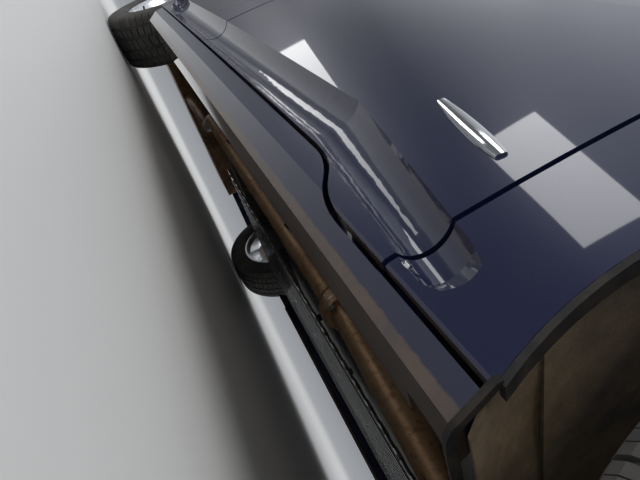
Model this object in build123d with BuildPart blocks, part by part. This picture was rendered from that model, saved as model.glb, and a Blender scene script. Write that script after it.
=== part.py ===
from build123d import *
import math
import os

os.makedirs("parts", exist_ok=True)

# Driving dimensions of the car, in millimetres
# The nose points to -Y, the car's left side is +X, the floor is at z = 0
LENGTH = 4800.0
WIDTH = 1820.0
HEIGHT = 1445.0
WHEELBASE = 2850.0
FRONT_AXLE_Y = -1550.0
REAR_AXLE_Y = FRONT_AXLE_Y + WHEELBASE
TYRE_R = 340.0
TYRE_WIDTH = 235.0
WHEEL_X = 762.0
RIM_R = 232.0
ARCH_R = 400.0

# Skins, layers and gaps of the panels
SKIN = 8.0
FLANGE = 12.0
FRAME_DEPTH = 44.0
JAMB_DEPTH = 50.0
DOOR_DEPTH = 110.0
PILLAR_DEPTH = 100.0
RAIL_WIDTH = 85.0
PANEL_GAP = 6.5
FRAME_GAP = 9.0
GLASS = 5.0
SEAT = 0.3

# Curvature of the body
HALF = WIDTH / 2
HALF_LENGTH = LENGTH / 2
CORNER_R = 330.0
SIDE_BOW = 40.0
END_BOW = 110.0
CROWN_R = 4200.0
HOUSE_BOW_R = 12000.0
BODY_FLOOR_Z = 60.0
SECTION_REACH = 170.0
CORE_LAP = 45.0

# Levels of the flank
SILL_BOTTOM_Z = 168.0
FRONT_EDGE_Z = 200.0
REAR_EDGE_Z = 239.0
BELT_Z = 985.0
BELT_RISE = 0.04
SILL_TOP_Z = 378.0

# Lengthwise stations of the doors
FENDER_GAP_Y = -1034.0
FRONT_DOOR_Y = FENDER_GAP_Y + PANEL_GAP / 2
WAVE_Y = (-943.0, -804.0)
B_GAP_Y = 48.0
B_PILLAR_Y = (0.0, 96.0)
ARCH_GAP_R = 455.0
LEFT, RIGHT = 1, -1


def finish(part, name):
    """Label a finished piece and write it."""
    part.label = name
    export_step(part, f"parts/{name}.step")


def mirrored(part):
    """The same piece on the other side of the car."""
    return part.mirror(Plane.YZ)


def upright_plane(centre, angle):
    """A plane through an upright axis, its x pointing outwards at this angle."""
    turn = math.radians(angle)
    return Plane(
        origin=centre,
        x_dir=(math.cos(turn), math.sin(turn), 0),
        z_dir=(math.sin(turn), -math.cos(turn), 0),
    )


# The outer form: one section carried round the plan outline, cut by a crowned top
def plan_half(inset):
    """Left half of the body's outline from above, all of tangent arcs."""
    side, end = HALF - inset, HALF_LENGTH - inset
    corner = (side - SIDE_BOW, end - END_BOW)
    with BuildSketch() as plan:
        with BuildLine():
            x, y = corner
            ThreePointArc((x, -y), (side, 0), (x, y))
            ThreePointArc((x, y), (0, end), (-x, y))
            ThreePointArc((-x, y), (-side, 0), (-x, -y))
            ThreePointArc((-x, -y), (0, -end), (x, -y))
        make_face()
        fillet(plan.vertices(), CORNER_R - inset)
        split(bisect_by=Plane.YZ)
    return plan.face()


def flank_section(edge):
    """Outline of the flank, from under the sill up to the waist."""
    foot = (edge - 17, 203)
    shoulder = (edge - 7, 700)
    waist = (edge - 62, 950)
    Polyline(
        foot, (edge - 41, SILL_BOTTOM_Z - 3), (edge - 41, BODY_FLOOR_Z),
        (edge - SECTION_REACH, BODY_FLOOR_Z), (edge - SECTION_REACH, 1250),
        (edge - 142, 1250), waist,
    )
    ThreePointArc(foot, (edge, 470), shoulder)
    TangentArc(shoulder, waist, tangent=(-0.07, 1))


def flank_body(inset):
    """The whole plan outline with the flank's section all round it."""
    half = plan_half(inset)
    rim = Wire(half.edges().filter_by(GeomType.CIRCLE))
    with BuildPart() as body:
        with BuildSketch(Plane(origin=(0, 0, 0), x_dir=(0, -1, 0), z_dir=(-1, 0, 0))):
            with BuildLine():
                flank_section(HALF_LENGTH - inset)
            make_face()
        sweep(path=rim)
        with BuildSketch(Plane.XY.offset(BODY_FLOOR_Z)):
            add(plan_half(inset + SECTION_REACH - CORE_LAP))
        extrude(amount=1250 - BODY_FLOOR_Z)
        mirror(about=Plane.YZ)
    return body.part


def crowned(outline):
    """A lengthwise profile turned about a far axis below the car, so that it is crowned across."""
    reach = CROWN_R - HEIGHT
    centre = (0, 0, -reach)
    span = 40
    tilt = math.radians(-span / 2)
    with BuildPart() as body:
        with BuildSketch(Plane(origin=centre, x_dir=(0, 1, 0), z_dir=(math.cos(tilt), 0, -math.sin(tilt)))):
            with BuildLine():
                outline(reach)
            make_face()
        revolve(axis=Axis(centre, (0, 1, 0)), revolution_arc=span)
    return body.part


def deck_outline(base):
    """Bonnet, waist and boot lid along the middle of the car."""
    nose, lip, cowl = (-2430, base + 430), (-2215, base + 762), (-1000, base + 975)
    deck, tail = (1650, base + 1085), (2400, base + 1040)
    Polyline(nose, (-2430, base), (2450, base), (2450, base + 1000), tail)
    ThreePointArc(nose, (-2385, base + 640), lip)
    ThreePointArc(lip, (-1650, base + 903), cowl)
    Line(cowl, deck)
    ThreePointArc(deck, (2100, base + 1098), tail)


def roof_outline(base):
    """Windscreen, roof and rear window along the middle of the car."""
    scuttle, header = (-1040, base + 930), (-180, base + 1395)
    rear_header, deck = (900, base + 1370), (1660, base + 1055)
    Polyline(deck, (1660, base + 600), (-1040, base + 600), scuttle)
    ThreePointArc(scuttle, (-600, base + 1192), header)
    ThreePointArc(header, (250, base + HEIGHT), rear_header)
    ThreePointArc(rear_header, (1270, base + 1238), deck)


def house_side():
    """Left side of the greenhouse, which leans inwards, as a slab with a little bow along the car."""
    reach = HOUSE_BOW_R - HALF
    centre = (-reach, 0, 0)
    span = 24
    with BuildPart() as slab:
        with BuildSketch(upright_plane(centre, -span / 2)):
            with BuildLine():
                Polyline(
                    (reach + 838, 960), (reach + 838, 700), (reach - 1300, 700),
                    (reach - 1300, 1600), (reach + 540, 1600), (reach + 540, 1420), (reach + 634, 1345),
                )
                ThreePointArc((reach + 838, 960), (reach + 750, 1160), (reach + 634, 1345))
            make_face()
        revolve(axis=Axis(centre, (0, 0, 1)), revolution_arc=span)
    return slab.part


DECK = crowned(deck_outline)
ROOF = crowned(roof_outline)
HOUSE_LEFT = house_side()
HOUSE_RIGHT = mirrored(HOUSE_LEFT)


def lower_body(inset):
    """The body up to the waist, this far inside the outer surface."""
    with BuildPart() as body:
        add(flank_body(inset))
        add(DECK.moved(Location((0, 0, -inset))), mode=Mode.INTERSECT)
    return body.part


def house_core(inset):
    """The space between the sides of the greenhouse, with no top."""
    with BuildPart() as core:
        add(HOUSE_LEFT.moved(Location((-inset, 0, 0))))
        add(HOUSE_RIGHT.moved(Location((inset, 0, 0))), mode=Mode.INTERSECT)
    return core.part


def house(inset):
    """The greenhouse, this far inside the outer surface."""
    with BuildPart() as body:
        add(house_core(inset))
        add(ROOF.moved(Location((0, 0, -inset))), mode=Mode.INTERSECT)
    return body.part


def whole_body(inset):
    """Waist and greenhouse together, this far inside the outer surface."""
    with BuildPart() as body:
        add(lower_body(inset))
        add(house(inset))
    return body.part


OUTER = whole_body(0)
UNDER_SKIN = whole_body(SKIN)
UNDER_FLANGE = whole_body(FLANGE)
UNDER_FRAME = whole_body(FRAME_DEPTH)
LOWER_FLANGE = lower_body(FLANGE)
AT_JAMB = whole_body(JAMB_DEPTH)
IN_PILLAR = flank_body(PILLAR_DEPTH)
IN_DOOR = flank_body(DOOR_DEPTH)
LID_UNDERSIDE = lower_body(20)
COWL_TOP = lower_body(25)
COWL_UNDERSIDE = lower_body(37)
BETWEEN_RAILS = house_core(RAIL_WIDTH)


def side_prism(sketch, start, end):
    """A side view outline carried across the car between two distances from its middle."""
    with BuildPart() as prism:
        with BuildSketch(Plane.YZ.offset(start)):
            add(sketch)
        extrude(amount=end - start)
    return prism.part


def side_box(y_range, z_range):
    """A rectangle in side view."""
    with BuildSketch() as box:
        with BuildLine():
            (a, b), (c, d) = y_range, z_range
            Polyline((a, c), (b, c), (b, d), (a, d), close=True)
        make_face()
    return box.sketch


def plan_prism(points, z_range, corner=0.0):
    """An outline in plan view carried up between two levels."""
    low, high = z_range
    with BuildPart() as prism:
        with BuildSketch(Plane.XY.offset(low)) as plan:
            with BuildLine():
                Polyline(*points, close=True)
            make_face()
            if corner:
                fillet(plan.vertices(), corner)
        extrude(amount=high - low)
    return prism.part


def wheel_disc(axle_y, radius):
    """A round outline about an axle in side view."""
    with BuildSketch() as disc:
        with Locations((axle_y, TYRE_R)):
            Circle(radius)
    return disc.sketch


def door_pair(grow=0.0):
    """Side view outline of both doors of one side."""
    arch_foot = REAR_AXLE_Y - math.sqrt(ARCH_GAP_R**2 - (TYRE_R - REAR_EDGE_Z) ** 2)
    arch_top_z = 640.0
    arch_top = REAR_AXLE_Y - math.sqrt(ARCH_GAP_R**2 - (arch_top_z - TYRE_R) ** 2)
    wave_middle = (sum(WAVE_Y) / 2, (FRONT_EDGE_Z + REAR_EDGE_Z) / 2)
    with BuildSketch() as doors:
        with BuildLine():
            Polyline(
                (WAVE_Y[0], FRONT_EDGE_Z), (FRONT_DOOR_Y, FRONT_EDGE_Z), (FRONT_DOOR_Y, 872),
                (-925, 905), (-590, 1082),
            )
            ThreePointArc((-590, 1082), (-390, 1196), (-180, 1298))
            ThreePointArc((-180, 1298), (250, 1350), (870, 1282))
            Polyline((870, 1282), (1085, 1065), (1078, 930), (arch_top, arch_top_z))
            arch_front = (REAR_AXLE_Y - ARCH_GAP_R, TYRE_R)
            ThreePointArc((arch_top, arch_top_z), arch_front, (arch_foot, REAR_EDGE_Z))
            Line((arch_foot, REAR_EDGE_Z), (WAVE_Y[1], REAR_EDGE_Z))
            rise = TangentArc((WAVE_Y[0], FRONT_EDGE_Z), wave_middle, tangent=(1, 0))
            TangentArc(wave_middle, (WAVE_Y[1], REAR_EDGE_Z), tangent=rise % 1)
        make_face()
        soft = [v for v in doors.vertices() if v.Y > 850 and v.X > 800]
        fillet(soft, 38)
        if grow:
            offset(amount=grow)
    return doors.sketch


def before_b_gap(inset=0.0):
    """Side view region of the front door, its rear edge drawn in a little towards the roof."""
    with BuildSketch() as region:
        with BuildLine():
            edge = B_GAP_Y - PANEL_GAP / 2 - inset
            Polyline(
                (-1300, 100), (edge, 100), (edge, BELT_Z), (edge - 4, 1420), (-1300, 1420), close=True,
            )
        make_face()
    return region.sketch


def behind_b_gap(inset=0.0):
    """Side view region of the rear door."""
    with BuildSketch() as region:
        with BuildLine():
            edge = B_GAP_Y + PANEL_GAP / 2 + inset
            Polyline((1300, 100), (edge, 100), (edge, BELT_Z), (edge + 4, 1420), (1300, 1420), close=True)
        make_face()
    return region.sketch


def above_belt():
    """Side view region over the waist line, under which the door panels are closed."""
    with BuildSketch() as region:
        with BuildLine():
            rise = 1300 * BELT_RISE
            Polyline(
                (-1300, BELT_Z - rise), (1300, BELT_Z + rise), (1300, 1500), (-1300, 1500), close=True,
            )
        make_face()
    return region.sketch


def common(first, *others):
    """What several side view outlines share."""
    with BuildSketch() as shared:
        add(first)
        for other in others:
            add(other, mode=Mode.INTERSECT)
    return shared.sketch


# The long hollow along the foot of the doors: it starts rounded on the fender and rises to the rear
SIDE_BOW_R = ((HALF_LENGTH - END_BOW) ** 2 + SIDE_BOW**2) / (2 * SIDE_BOW)
SCOOP_START = (-1072.0, 236.0, 30.0)
SCOOP_FULL = (-749.0, 281.0, 48.0)
SCOOP_REAR = (640.0, 281.0, 48.0)
SCOOP_END = (800.0, 300.0, 26.0)
SCOOP_DEPTH = 19.0
SCOOP_WALL = 9.0


def skin_x(y, inset=12.0):
    """Half width of the flank near its foot at this station."""
    return HALF - inset - (SIDE_BOW_R - math.sqrt(SIDE_BOW_R**2 - y**2))


def scoop(thicken=0.0):
    """Round cutter of the hollow on the left side, or the same cutter grown by its wall."""
    rings = []
    for y, z, r in (SCOOP_START, SCOOP_FULL, SCOOP_REAR, SCOOP_END):
        rings.append((skin_x(y) + r - SCOOP_DEPTH, y, z, r + thicken))
    for end, way in ((0, -1), (-1, 1)):
        x, y, z, r = rings[end]
        for angle in (50, 15):
            turn = math.radians(angle)
            cap = (x, y + way * r * math.cos(turn), z, r * math.sin(turn))
            rings.insert(0 if way < 0 else len(rings), cap)
    with BuildPart() as cutter:
        for x, y, z, r in rings:
            with BuildSketch(Plane(origin=(x, y, z), x_dir=(1, 0, 0), z_dir=(0, 1, 0))):
                Circle(r)
        loft(ruled=True)
    return cutter.part


SCOOP = scoop()
SCOOP_BACK = scoop(SCOOP_WALL)


def less(part, *cutters):
    """A piece with all of these cut away."""
    with BuildPart() as rest:
        add(part)
        for cutter in cutters:
            add(cutter, mode=Mode.SUBTRACT)
    return rest.part


def joined(*parts):
    """Pieces fused into one."""
    with BuildPart() as whole:
        for part in parts:
            add(part)
    return whole.part


def main_solid(part):
    """The largest solid of a piece, without chips that a cut leaves."""
    return part.solids().sort_by(SortBy.VOLUME)[-1]


# The hollow keeps its wall where the space behind a panel's layer is cut out
BEHIND_SKIN = less(UNDER_SKIN, SCOOP_BACK)
BEHIND_FLANGE = less(UNDER_FLANGE, SCOOP_BACK)

# Doors: an outer layer to the full outline, and a thicker inner one drawn in all round
FRAME_WIDTH = 45.0
BOTH_DOORS = door_pair()
INNER_DOORS = door_pair(-28.0)
FRAME_DOORS = door_pair(-14.0)
WINDOW_DOORS = door_pair(-FRAME_WIDTH)
JAMB_DOORS = door_pair(-12.0)
OPENING_LOW = door_pair(PANEL_GAP)
OPENING_HIGH = common(door_pair(FRAME_GAP), side_box((-1300, 1300), (930, 1500)))

door_regions = {
    "front": (
        before_b_gap(),
        common(before_b_gap(62), side_box((-1300, 1300), (394, 1500))),
        before_b_gap(14),
        common(before_b_gap(FRAME_WIDTH), above_belt()),
    ),
    "rear": (
        behind_b_gap(),
        common(behind_b_gap(62), side_box((-1300, 1300), (394, 1500))),
        behind_b_gap(14),
        common(behind_b_gap(FRAME_WIDTH), above_belt()),
    ),
}


def window_prism(place, start, end):
    """The window opening of one door, carried across the door."""
    return side_prism(common(WINDOW_DOORS, door_regions[place][3]), start, end)


def door_panel(place):
    """One left door with its frame, its window open."""
    outer_region, inner_region, frame_region, window_region = door_regions[place]
    with BuildPart() as door:
        add(side_prism(common(BOTH_DOORS, outer_region), 400, 1000))
        add(OUTER, mode=Mode.INTERSECT)
        add(BEHIND_FLANGE, mode=Mode.SUBTRACT)
    with BuildPart() as inner:
        add(side_prism(common(INNER_DOORS, inner_region), 400, 1000))
        add(LOWER_FLANGE, mode=Mode.INTERSECT)
        add(IN_DOOR, mode=Mode.SUBTRACT)
    with BuildPart() as frame:
        add(side_prism(common(FRAME_DOORS, frame_region, side_box((-1300, 1300), (880, 1500))), 400, 1000))
        add(UNDER_FLANGE, mode=Mode.INTERSECT)
        add(UNDER_FRAME, mode=Mode.SUBTRACT)
    with BuildPart() as whole:
        add(door.part)
        add(inner.part)
        add(frame.part)
        add(SCOOP, mode=Mode.SUBTRACT)
        add(window_prism(place, 400, 1000), mode=Mode.SUBTRACT)
    return whole.part


DOOR_GLASS_DEPTH = 14.0
GLASS_OUTER = house(DOOR_GLASS_DEPTH)
GLASS_INNER = house(DOOR_GLASS_DEPTH + GLASS)


def door_window(place):
    """The pane that fills the opening of one left door."""
    with BuildPart() as pane:
        add(window_prism(place, 400, 1000))
        add(GLASS_OUTER, mode=Mode.INTERSECT)
        add(GLASS_INNER, mode=Mode.SUBTRACT)
    return pane.part


HANDLES = {"front": (-110.0, 900.0, 865.0), "rear": (880.0, 925.0, 851.0)}
HANDLE_LENGTH = 170.0
HANDLE_HEIGHT = 24.0
HANDLE_PROUD = 16.0
FINGER_CUP_R = 55.0
FINGER_CUP_DEPTH = 17.0


def with_handle(panel, place):
    """A door with its pull handle, which bridges a round finger cup in the skin."""
    y, z, skin = HANDLES[place]
    with BuildPart() as door:
        add(panel)
        with Locations((skin + FINGER_CUP_R - FINGER_CUP_DEPTH, y, z)):
            Sphere(FINGER_CUP_R, mode=Mode.SUBTRACT)
        with BuildSketch(Plane.YZ.offset(skin - 8)):
            with Locations(*[(y + side * (HANDLE_LENGTH / 2 - 20), z) for side in (LEFT, RIGHT)]):
                Rectangle(40, HANDLE_HEIGHT)
        extrude(amount=HANDLE_PROUD)
        with BuildSketch(Plane.YZ.offset(skin + HANDLE_PROUD - 11)):
            with Locations((y, z)):
                SlotOverall(HANDLE_LENGTH, HANDLE_HEIGHT)
        extrude(amount=11)
    return door.part


for place in door_regions:
    panel, pane = with_handle(door_panel(place), place), door_window(place)
    finish(panel, f"door_{place}_left")
    finish(mirrored(panel), f"door_{place}_right")
    finish(pane, f"door_glass_{place}_left")
    finish(mirrored(pane), f"door_glass_{place}_right")

# Shut lines seen from above and from the side
BONNET_REAR_Y = -1064.0
BONNET_HALF = (690.0, 640.0)
BONNET_FRONT_Z = 735.0
LAMP_Z = (610.0, 742.0)
LAMP_INNER_X = 470.0
REAR_CUT_Y = 2060.0
TAIL_LAMP_Z = (800.0, 930.0)
TAIL_LAMP_INNER_X = 430.0
LID_FRONT_Y = 1672.0
LID_HALF = (610.0, 560.0)
LID_LOW_Z = 735.0
GAP = 6.0
LID_FRONT_GAP = 11.0


def bonnet_plan(grow=0.0):
    """The bonnet's outline from above, widened by a gap where asked."""
    rear, front = BONNET_HALF
    y = BONNET_REAR_Y + grow
    points = [(-rear - grow, y), (rear + grow, y), (front + grow, -2450), (-front - grow, -2450)]
    return plan_prism(points, (BONNET_FRONT_Z - grow, 1200))


def lid_plan(grow=0.0):
    """The boot lid's outline from above."""
    front, rear = LID_HALF
    y = LID_FRONT_Y - (LID_FRONT_GAP if grow else 0)
    points = [(-front - grow, y), (front + grow, y), (rear + grow, 2450), (-rear - grow, 2450)]
    return plan_prism(points, (LID_LOW_Z - grow, 1200))


BONNET_SPACE = bonnet_plan(GAP)
LID_SPACE = lid_plan(GAP)


def skin_between(region, inner=UNDER_SKIN, start=-1000.0, end=1000.0):
    """The outer skin inside a side view region."""
    with BuildPart() as skin:
        add(side_prism(region, start, end))
        add(OUTER, mode=Mode.INTERSECT)
        add(inner, mode=Mode.SUBTRACT)
    return skin.part


# Lamps at the corners, as deep as their bowls
def lamp_zone(y_range, z_range, inner_x):
    """The corner of the car that a lamp takes up, on the left."""
    (y0, y1), (z0, z1) = y_range, z_range
    return plan_prism([(inner_x, y0), (1000, y0), (1000, y1), (inner_x, y1)], (z0, z1))


HEADLAMP_ZONE = less(lamp_zone((-2450, -2010), LAMP_Z, LAMP_INNER_X), BONNET_SPACE)
TAIL_LAMP_ZONE = lamp_zone((2080, 2450), TAIL_LAMP_Z, TAIL_LAMP_INNER_X)
LAMP_DEPTH = 70.0
LENS = 5.0
AT_BOWL = flank_body(LAMP_DEPTH)
LENS_TOP = lower_body(LENS)


def lamp(zone):
    """A lamp's clear cover and the body behind it, on the left."""
    with BuildPart() as cover:
        add(zone)
        add(OUTER, mode=Mode.INTERSECT)
        add(LENS_TOP, mode=Mode.SUBTRACT)
    with BuildPart() as bowl:
        add(zone)
        add(LENS_TOP, mode=Mode.INTERSECT)
        add(AT_BOWL, mode=Mode.SUBTRACT)
    return main_solid(cover.part), main_solid(bowl.part)


BOWL_WALL = 14.0
PROJECTOR_R = 24.0
PROJECTORS = ((530.0, 648.0), (600.0, 648.0), (670.0, 648.0))
head_cover, head_block = lamp(HEADLAMP_ZONE)
with BuildPart() as bowl_space:
    add(lamp_zone((-2450, -2030), (LAMP_Z[0] + 10, LAMP_Z[1]), LAMP_INNER_X + 12))
    add(lower_body(LENS), mode=Mode.INTERSECT)
    add(flank_body(LAMP_DEPTH - BOWL_WALL), mode=Mode.SUBTRACT)
with BuildPart() as projectors:
    with BuildSketch(Plane.XZ.offset(2150)):
        with Locations(*PROJECTORS):
            Circle(PROJECTOR_R)
    extrude(amount=300)
    add(lower_body(LENS + 10), mode=Mode.INTERSECT)
    add(AT_BOWL, mode=Mode.SUBTRACT)
head_bowl = joined(less(head_block, bowl_space.part), projectors.part)
tail_cover, tail_bowl = lamp(TAIL_LAMP_ZONE)
finish(joined(head_cover, mirrored(head_cover)), "headlamp_lenses")
finish(joined(head_bowl, mirrored(head_bowl)), "headlamps")
finish(joined(tail_cover, mirrored(tail_cover)), "tail_lamp_lenses")
finish(joined(tail_bowl, mirrored(tail_bowl)), "tail_lamps")
BOTH_HEADLAMPS = joined(HEADLAMP_ZONE, mirrored(HEADLAMP_ZONE))
BOTH_TAIL_LAMPS = joined(TAIL_LAMP_ZONE, mirrored(TAIL_LAMP_ZONE))
FRONT_ARCH = side_prism(wheel_disc(FRONT_AXLE_Y, ARCH_R), -1000, 1000)
REAR_ARCH = side_prism(wheel_disc(REAR_AXLE_Y, ARCH_R), -1000, 1000)

# Bonnet and boot lid, each in one thickness with its inner panel
BONNET_PIVOT = (-1022.0, 890.0)
BONNET_PIN_R = 4.0
PIN_CLEARANCE = 0.3
STRAP_X = 651.0
with BuildPart() as bonnet:
    add(bonnet_plan())
    add(OUTER, mode=Mode.INTERSECT)
    add(LID_UNDERSIDE, mode=Mode.SUBTRACT)
    for side in (LEFT, RIGHT):
        with BuildSketch(Plane.YZ.offset(side * STRAP_X)):
            with BuildLine():
                Polyline(
                    (-1190, 868), (-1075, 876), (-1022, 882), (-1022, 898), (-1062, 898), (-1190, 890),
                    close=True,
                )
            make_face()
            with Locations(BONNET_PIVOT):
                Circle(8)
                Circle(BONNET_PIN_R + PIN_CLEARANCE, mode=Mode.SUBTRACT)
        extrude(amount=side * 8)
finish(bonnet.part, "bonnet")

LID_PIVOT = (1500.0, 1020.0)
LID_PIN_R = 5.0
ARM_X = 508.0
ARM = 22.0
with BuildPart() as boot_lid:
    add(lid_plan())
    add(lower_body(0), mode=Mode.INTERSECT)
    add(LID_UNDERSIDE, mode=Mode.SUBTRACT)
    add(BOTH_TAIL_LAMPS, mode=Mode.SUBTRACT)
lid_shell = main_solid(boot_lid.part)
with BuildPart() as boot_lid:
    add(lid_shell)
    for side in (LEFT, RIGHT):
        with BuildSketch(Plane.YZ.offset(side * ARM_X)):
            with BuildLine():
                y, z = LID_PIVOT
                FilletPolyline(
                    (y, z), (y + 25, z - 165), (y + 120, z - 200), (y + 215, z - 150), (y + 270, z + 24),
                    radius=35,
                )
            trace(line_width=ARM)
            with Locations(LID_PIVOT):
                Circle(ARM / 2 + 3)
                Circle(LID_PIN_R + PIN_CLEARANCE, mode=Mode.SUBTRACT)
        extrude(amount=side * 12)
finish(boot_lid.part, "boot_lid")

# Front bumper below a line from the wheel arch to the lamp, with the mouth of the grille
GRILLE_Z = (290.0, 650.0)
GRILLE_HALF = (370.0, 430.0)
with BuildSketch() as bumper_front_side:
    with BuildLine():
        Polyline(
            (-2450, 175), (-1900, 175), (-1820, 560), (-2010, LAMP_Z[0] - GAP),
            (-2250, LAMP_Z[0] - GAP), (-2250, BONNET_FRONT_Z - GAP),
            (-2450, BONNET_FRONT_Z - GAP), close=True,
        )
    make_face()


def mouth(grow=0.0):
    """The grille's opening in front view, carried back through the bumper."""
    (low, high), (narrow, wide) = GRILLE_Z, GRILLE_HALF
    with BuildPart() as opening:
        with BuildSketch(Plane.XZ.offset(2000)) as shape:
            with BuildLine():
                Polyline(
                    (-narrow - grow, low - grow), (narrow + grow, low - grow),
                    (wide + grow, high + grow), (-wide - grow, high + grow), close=True,
                )
            make_face()
            fillet(shape.vertices(), 40 + grow)
        extrude(amount=500)
    return opening.part


front_bumper_skin = skin_between(bumper_front_side.sketch)
front_bumper = less(front_bumper_skin, BOTH_HEADLAMPS, FRONT_ARCH, mouth())
finish(front_bumper, "front_bumper")

# Grille bars follow the bumper's curve inside the mouth
GRILLE_BARS = 9
GRILLE_BAR = 12.0
GRILLE_FRAME = 12.0
GRILLE_DEPTH = 24.0
with BuildPart() as grille:
    with BuildSketch(Plane.XZ.offset(2000)) as bars:
        pitch = (GRILLE_Z[1] - GRILLE_Z[0]) / GRILLE_BARS
        with Locations(*[(0, GRILLE_Z[0] + pitch * (i + 0.5)) for i in range(GRILLE_BARS)]):
            Rectangle(1200, GRILLE_BAR)
        with Locations(*[(x, 470) for x in (-240, 0, 240)]):
            Rectangle(GRILLE_BAR, 400)
    extrude(amount=500)
    add(mouth(), mode=Mode.INTERSECT)
    add(less(mouth(GRILLE_FRAME), mouth(-GRILLE_FRAME)))
    add(lower_body(SKIN + 0.3), mode=Mode.INTERSECT)
    add(lower_body(SKIN + GRILLE_DEPTH), mode=Mode.SUBTRACT)
finish(grille.part, "grille")

# Front fenders, from the lamp to the door
FENDER_FOOT_Z = 200.0
with BuildSketch() as fender_side:
    with BuildLine():
        Polyline(
            (-2250, LAMP_Z[0]), (-2010, LAMP_Z[0]), (-1815, 565), (-1700, FENDER_FOOT_Z),
            (FENDER_GAP_Y - PANEL_GAP / 2, FENDER_FOOT_Z), (FENDER_GAP_Y - PANEL_GAP / 2, 868),
            (FENDER_GAP_Y - PANEL_GAP / 2, 1000), (-2250, 1000), close=True,
        )
    make_face()
fender_skin = skin_between(fender_side.sketch, inner=BEHIND_SKIN, start=600.0)
BONNET_CORNER = plan_prism([(500, -1062), (700, -1062), (700, -1030), (500, -1030)], (800, 1100))
fender = less(fender_skin, SCOOP, BONNET_SPACE, BONNET_CORNER, BOTH_HEADLAMPS, FRONT_ARCH)
finish(joined(fender, mirrored(fender)), "fenders")

# Rear bumper
with BuildSketch() as bumper_rear_side:
    with BuildLine():
        Polyline(
            (2450, 230), (1650, 200), (1700, 560), (REAR_CUT_Y, 640), (REAR_CUT_Y, LID_LOW_Z - GAP),
            (2450, LID_LOW_Z - GAP), close=True,
        )
    make_face()
rear_bumper = less(skin_between(bumper_rear_side.sketch), REAR_ARCH)
finish(rear_bumper, "rear_bumper")

# Body side: rail and pillars of the greenhouse, ring round the doors, and the rear quarter's skin
front_hole = common(JAMB_DOORS, side_box((-1300, B_PILLAR_Y[0]), (SILL_TOP_Z, 1500)))
rear_hole = common(JAMB_DOORS, side_box((B_PILLAR_Y[1], 1300), (SILL_TOP_Z, 1500)))
OPENING = joined(side_prism(OPENING_LOW, 300, 1000), side_prism(OPENING_HIGH, 300, 1000))
HOLES = joined(side_prism(front_hole, 300, 1000), side_prism(rear_hole, 300, 1000))
DOOR_RECESS = less(OPENING, AT_JAMB)
RAIL_LAP = 3.0
SCUTTLE_Y = FENDER_GAP_Y - PANEL_GAP / 2 + 0.5
REBATE = 12.0
DOOR_STOPS = ((-60.0, 356.0), (780.0, 356.0))
STOP_R = 11.0
HINGES = ((893.0, -991.0), (905.0, 91.0))
DOOR_SWING_R = 62.0
DOOR_SWING_Z = (238.0, 350.0)

with BuildPart() as cant:
    add(house(0))
    add(BETWEEN_RAILS, mode=Mode.SUBTRACT)
    add(side_prism(side_box((SCUTTLE_Y, 1900), (880, 1500)), 0, 1000), mode=Mode.INTERSECT)
with BuildPart() as ring:
    add(side_prism(side_box((-1090, 985), (SILL_BOTTOM_Z + 4, 960)), 300, 1000))
    add(AT_JAMB, mode=Mode.INTERSECT)
    add(IN_PILLAR, mode=Mode.SUBTRACT)
    add(side_prism(wheel_disc(REAR_AXLE_Y, ARCH_R + 12), 0, 1000), mode=Mode.SUBTRACT)
with BuildSketch() as quarter_side:
    with BuildLine():
        Polyline(
            (800, REAR_EDGE_Z), (1500, REAR_EDGE_Z), (1700, 560 + GAP), (REAR_CUT_Y - GAP, 640 + GAP),
            (REAR_CUT_Y - GAP, LID_LOW_Z - GAP), (REAR_CUT_Y, LID_LOW_Z), (2450, LID_LOW_Z),
            (2450, 1200), (700, 1200), close=True,
        )
    make_face()

# The greenhouse a little narrower than it is, so that the panels outside it run into its rail
with BuildPart() as narrow_house:
    add(house_core(RAIL_LAP))
    add(ROOF, mode=Mode.INTERSECT)
NARROW_HOUSE = narrow_house.part
LOWER_UNDER_SKIN = lower_body(SKIN)
quarter_skin = skin_between(quarter_side.sketch, inner=LOWER_UNDER_SKIN, start=0.0)
quarter = less(quarter_skin, NARROW_HOUSE, LID_SPACE, BOTH_TAIL_LAMPS, REAR_ARCH, OPENING)
scuttle_side = side_box((SCUTTLE_Y, -880), (868, 1000))
scuttle_skin = skin_between(scuttle_side, inner=LOWER_UNDER_SKIN, start=600.0)
STRAP_SLOT = plan_prism([(638, -1045), (672, -1045), (672, -1006), (638, -1006)], (840, 1000))
scuttle = less(scuttle_skin, NARROW_HOUSE, OPENING, BONNET_SPACE, STRAP_SLOT)
with BuildSketch() as band:
    add(door_pair(PANEL_GAP + REBATE))
    add(side_box((-1300, 700), (0, 880)), mode=Mode.SUBTRACT)
    add(side_box((700, 1300), (0, 300)), mode=Mode.SUBTRACT)
    add(side_box((-1300, SCUTTLE_Y), (0, 1500)), mode=Mode.SUBTRACT)
with BuildPart() as rebate:
    add(side_prism(band.sketch, 400, 1000))
    add(OUTER, mode=Mode.INTERSECT)
    add(IN_PILLAR, mode=Mode.SUBTRACT)
    add(BETWEEN_RAILS, mode=Mode.SUBTRACT)
with BuildSketch() as stop_discs:
    with Locations(*DOOR_STOPS):
        Circle(STOP_R)
with BuildPart() as stops:
    add(side_prism(stop_discs.sketch, 400, 1000))
    add(lower_body(FLANGE + SEAT), mode=Mode.INTERSECT)
    add(lower_body(JAMB_DEPTH + 4), mode=Mode.SUBTRACT)

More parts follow.
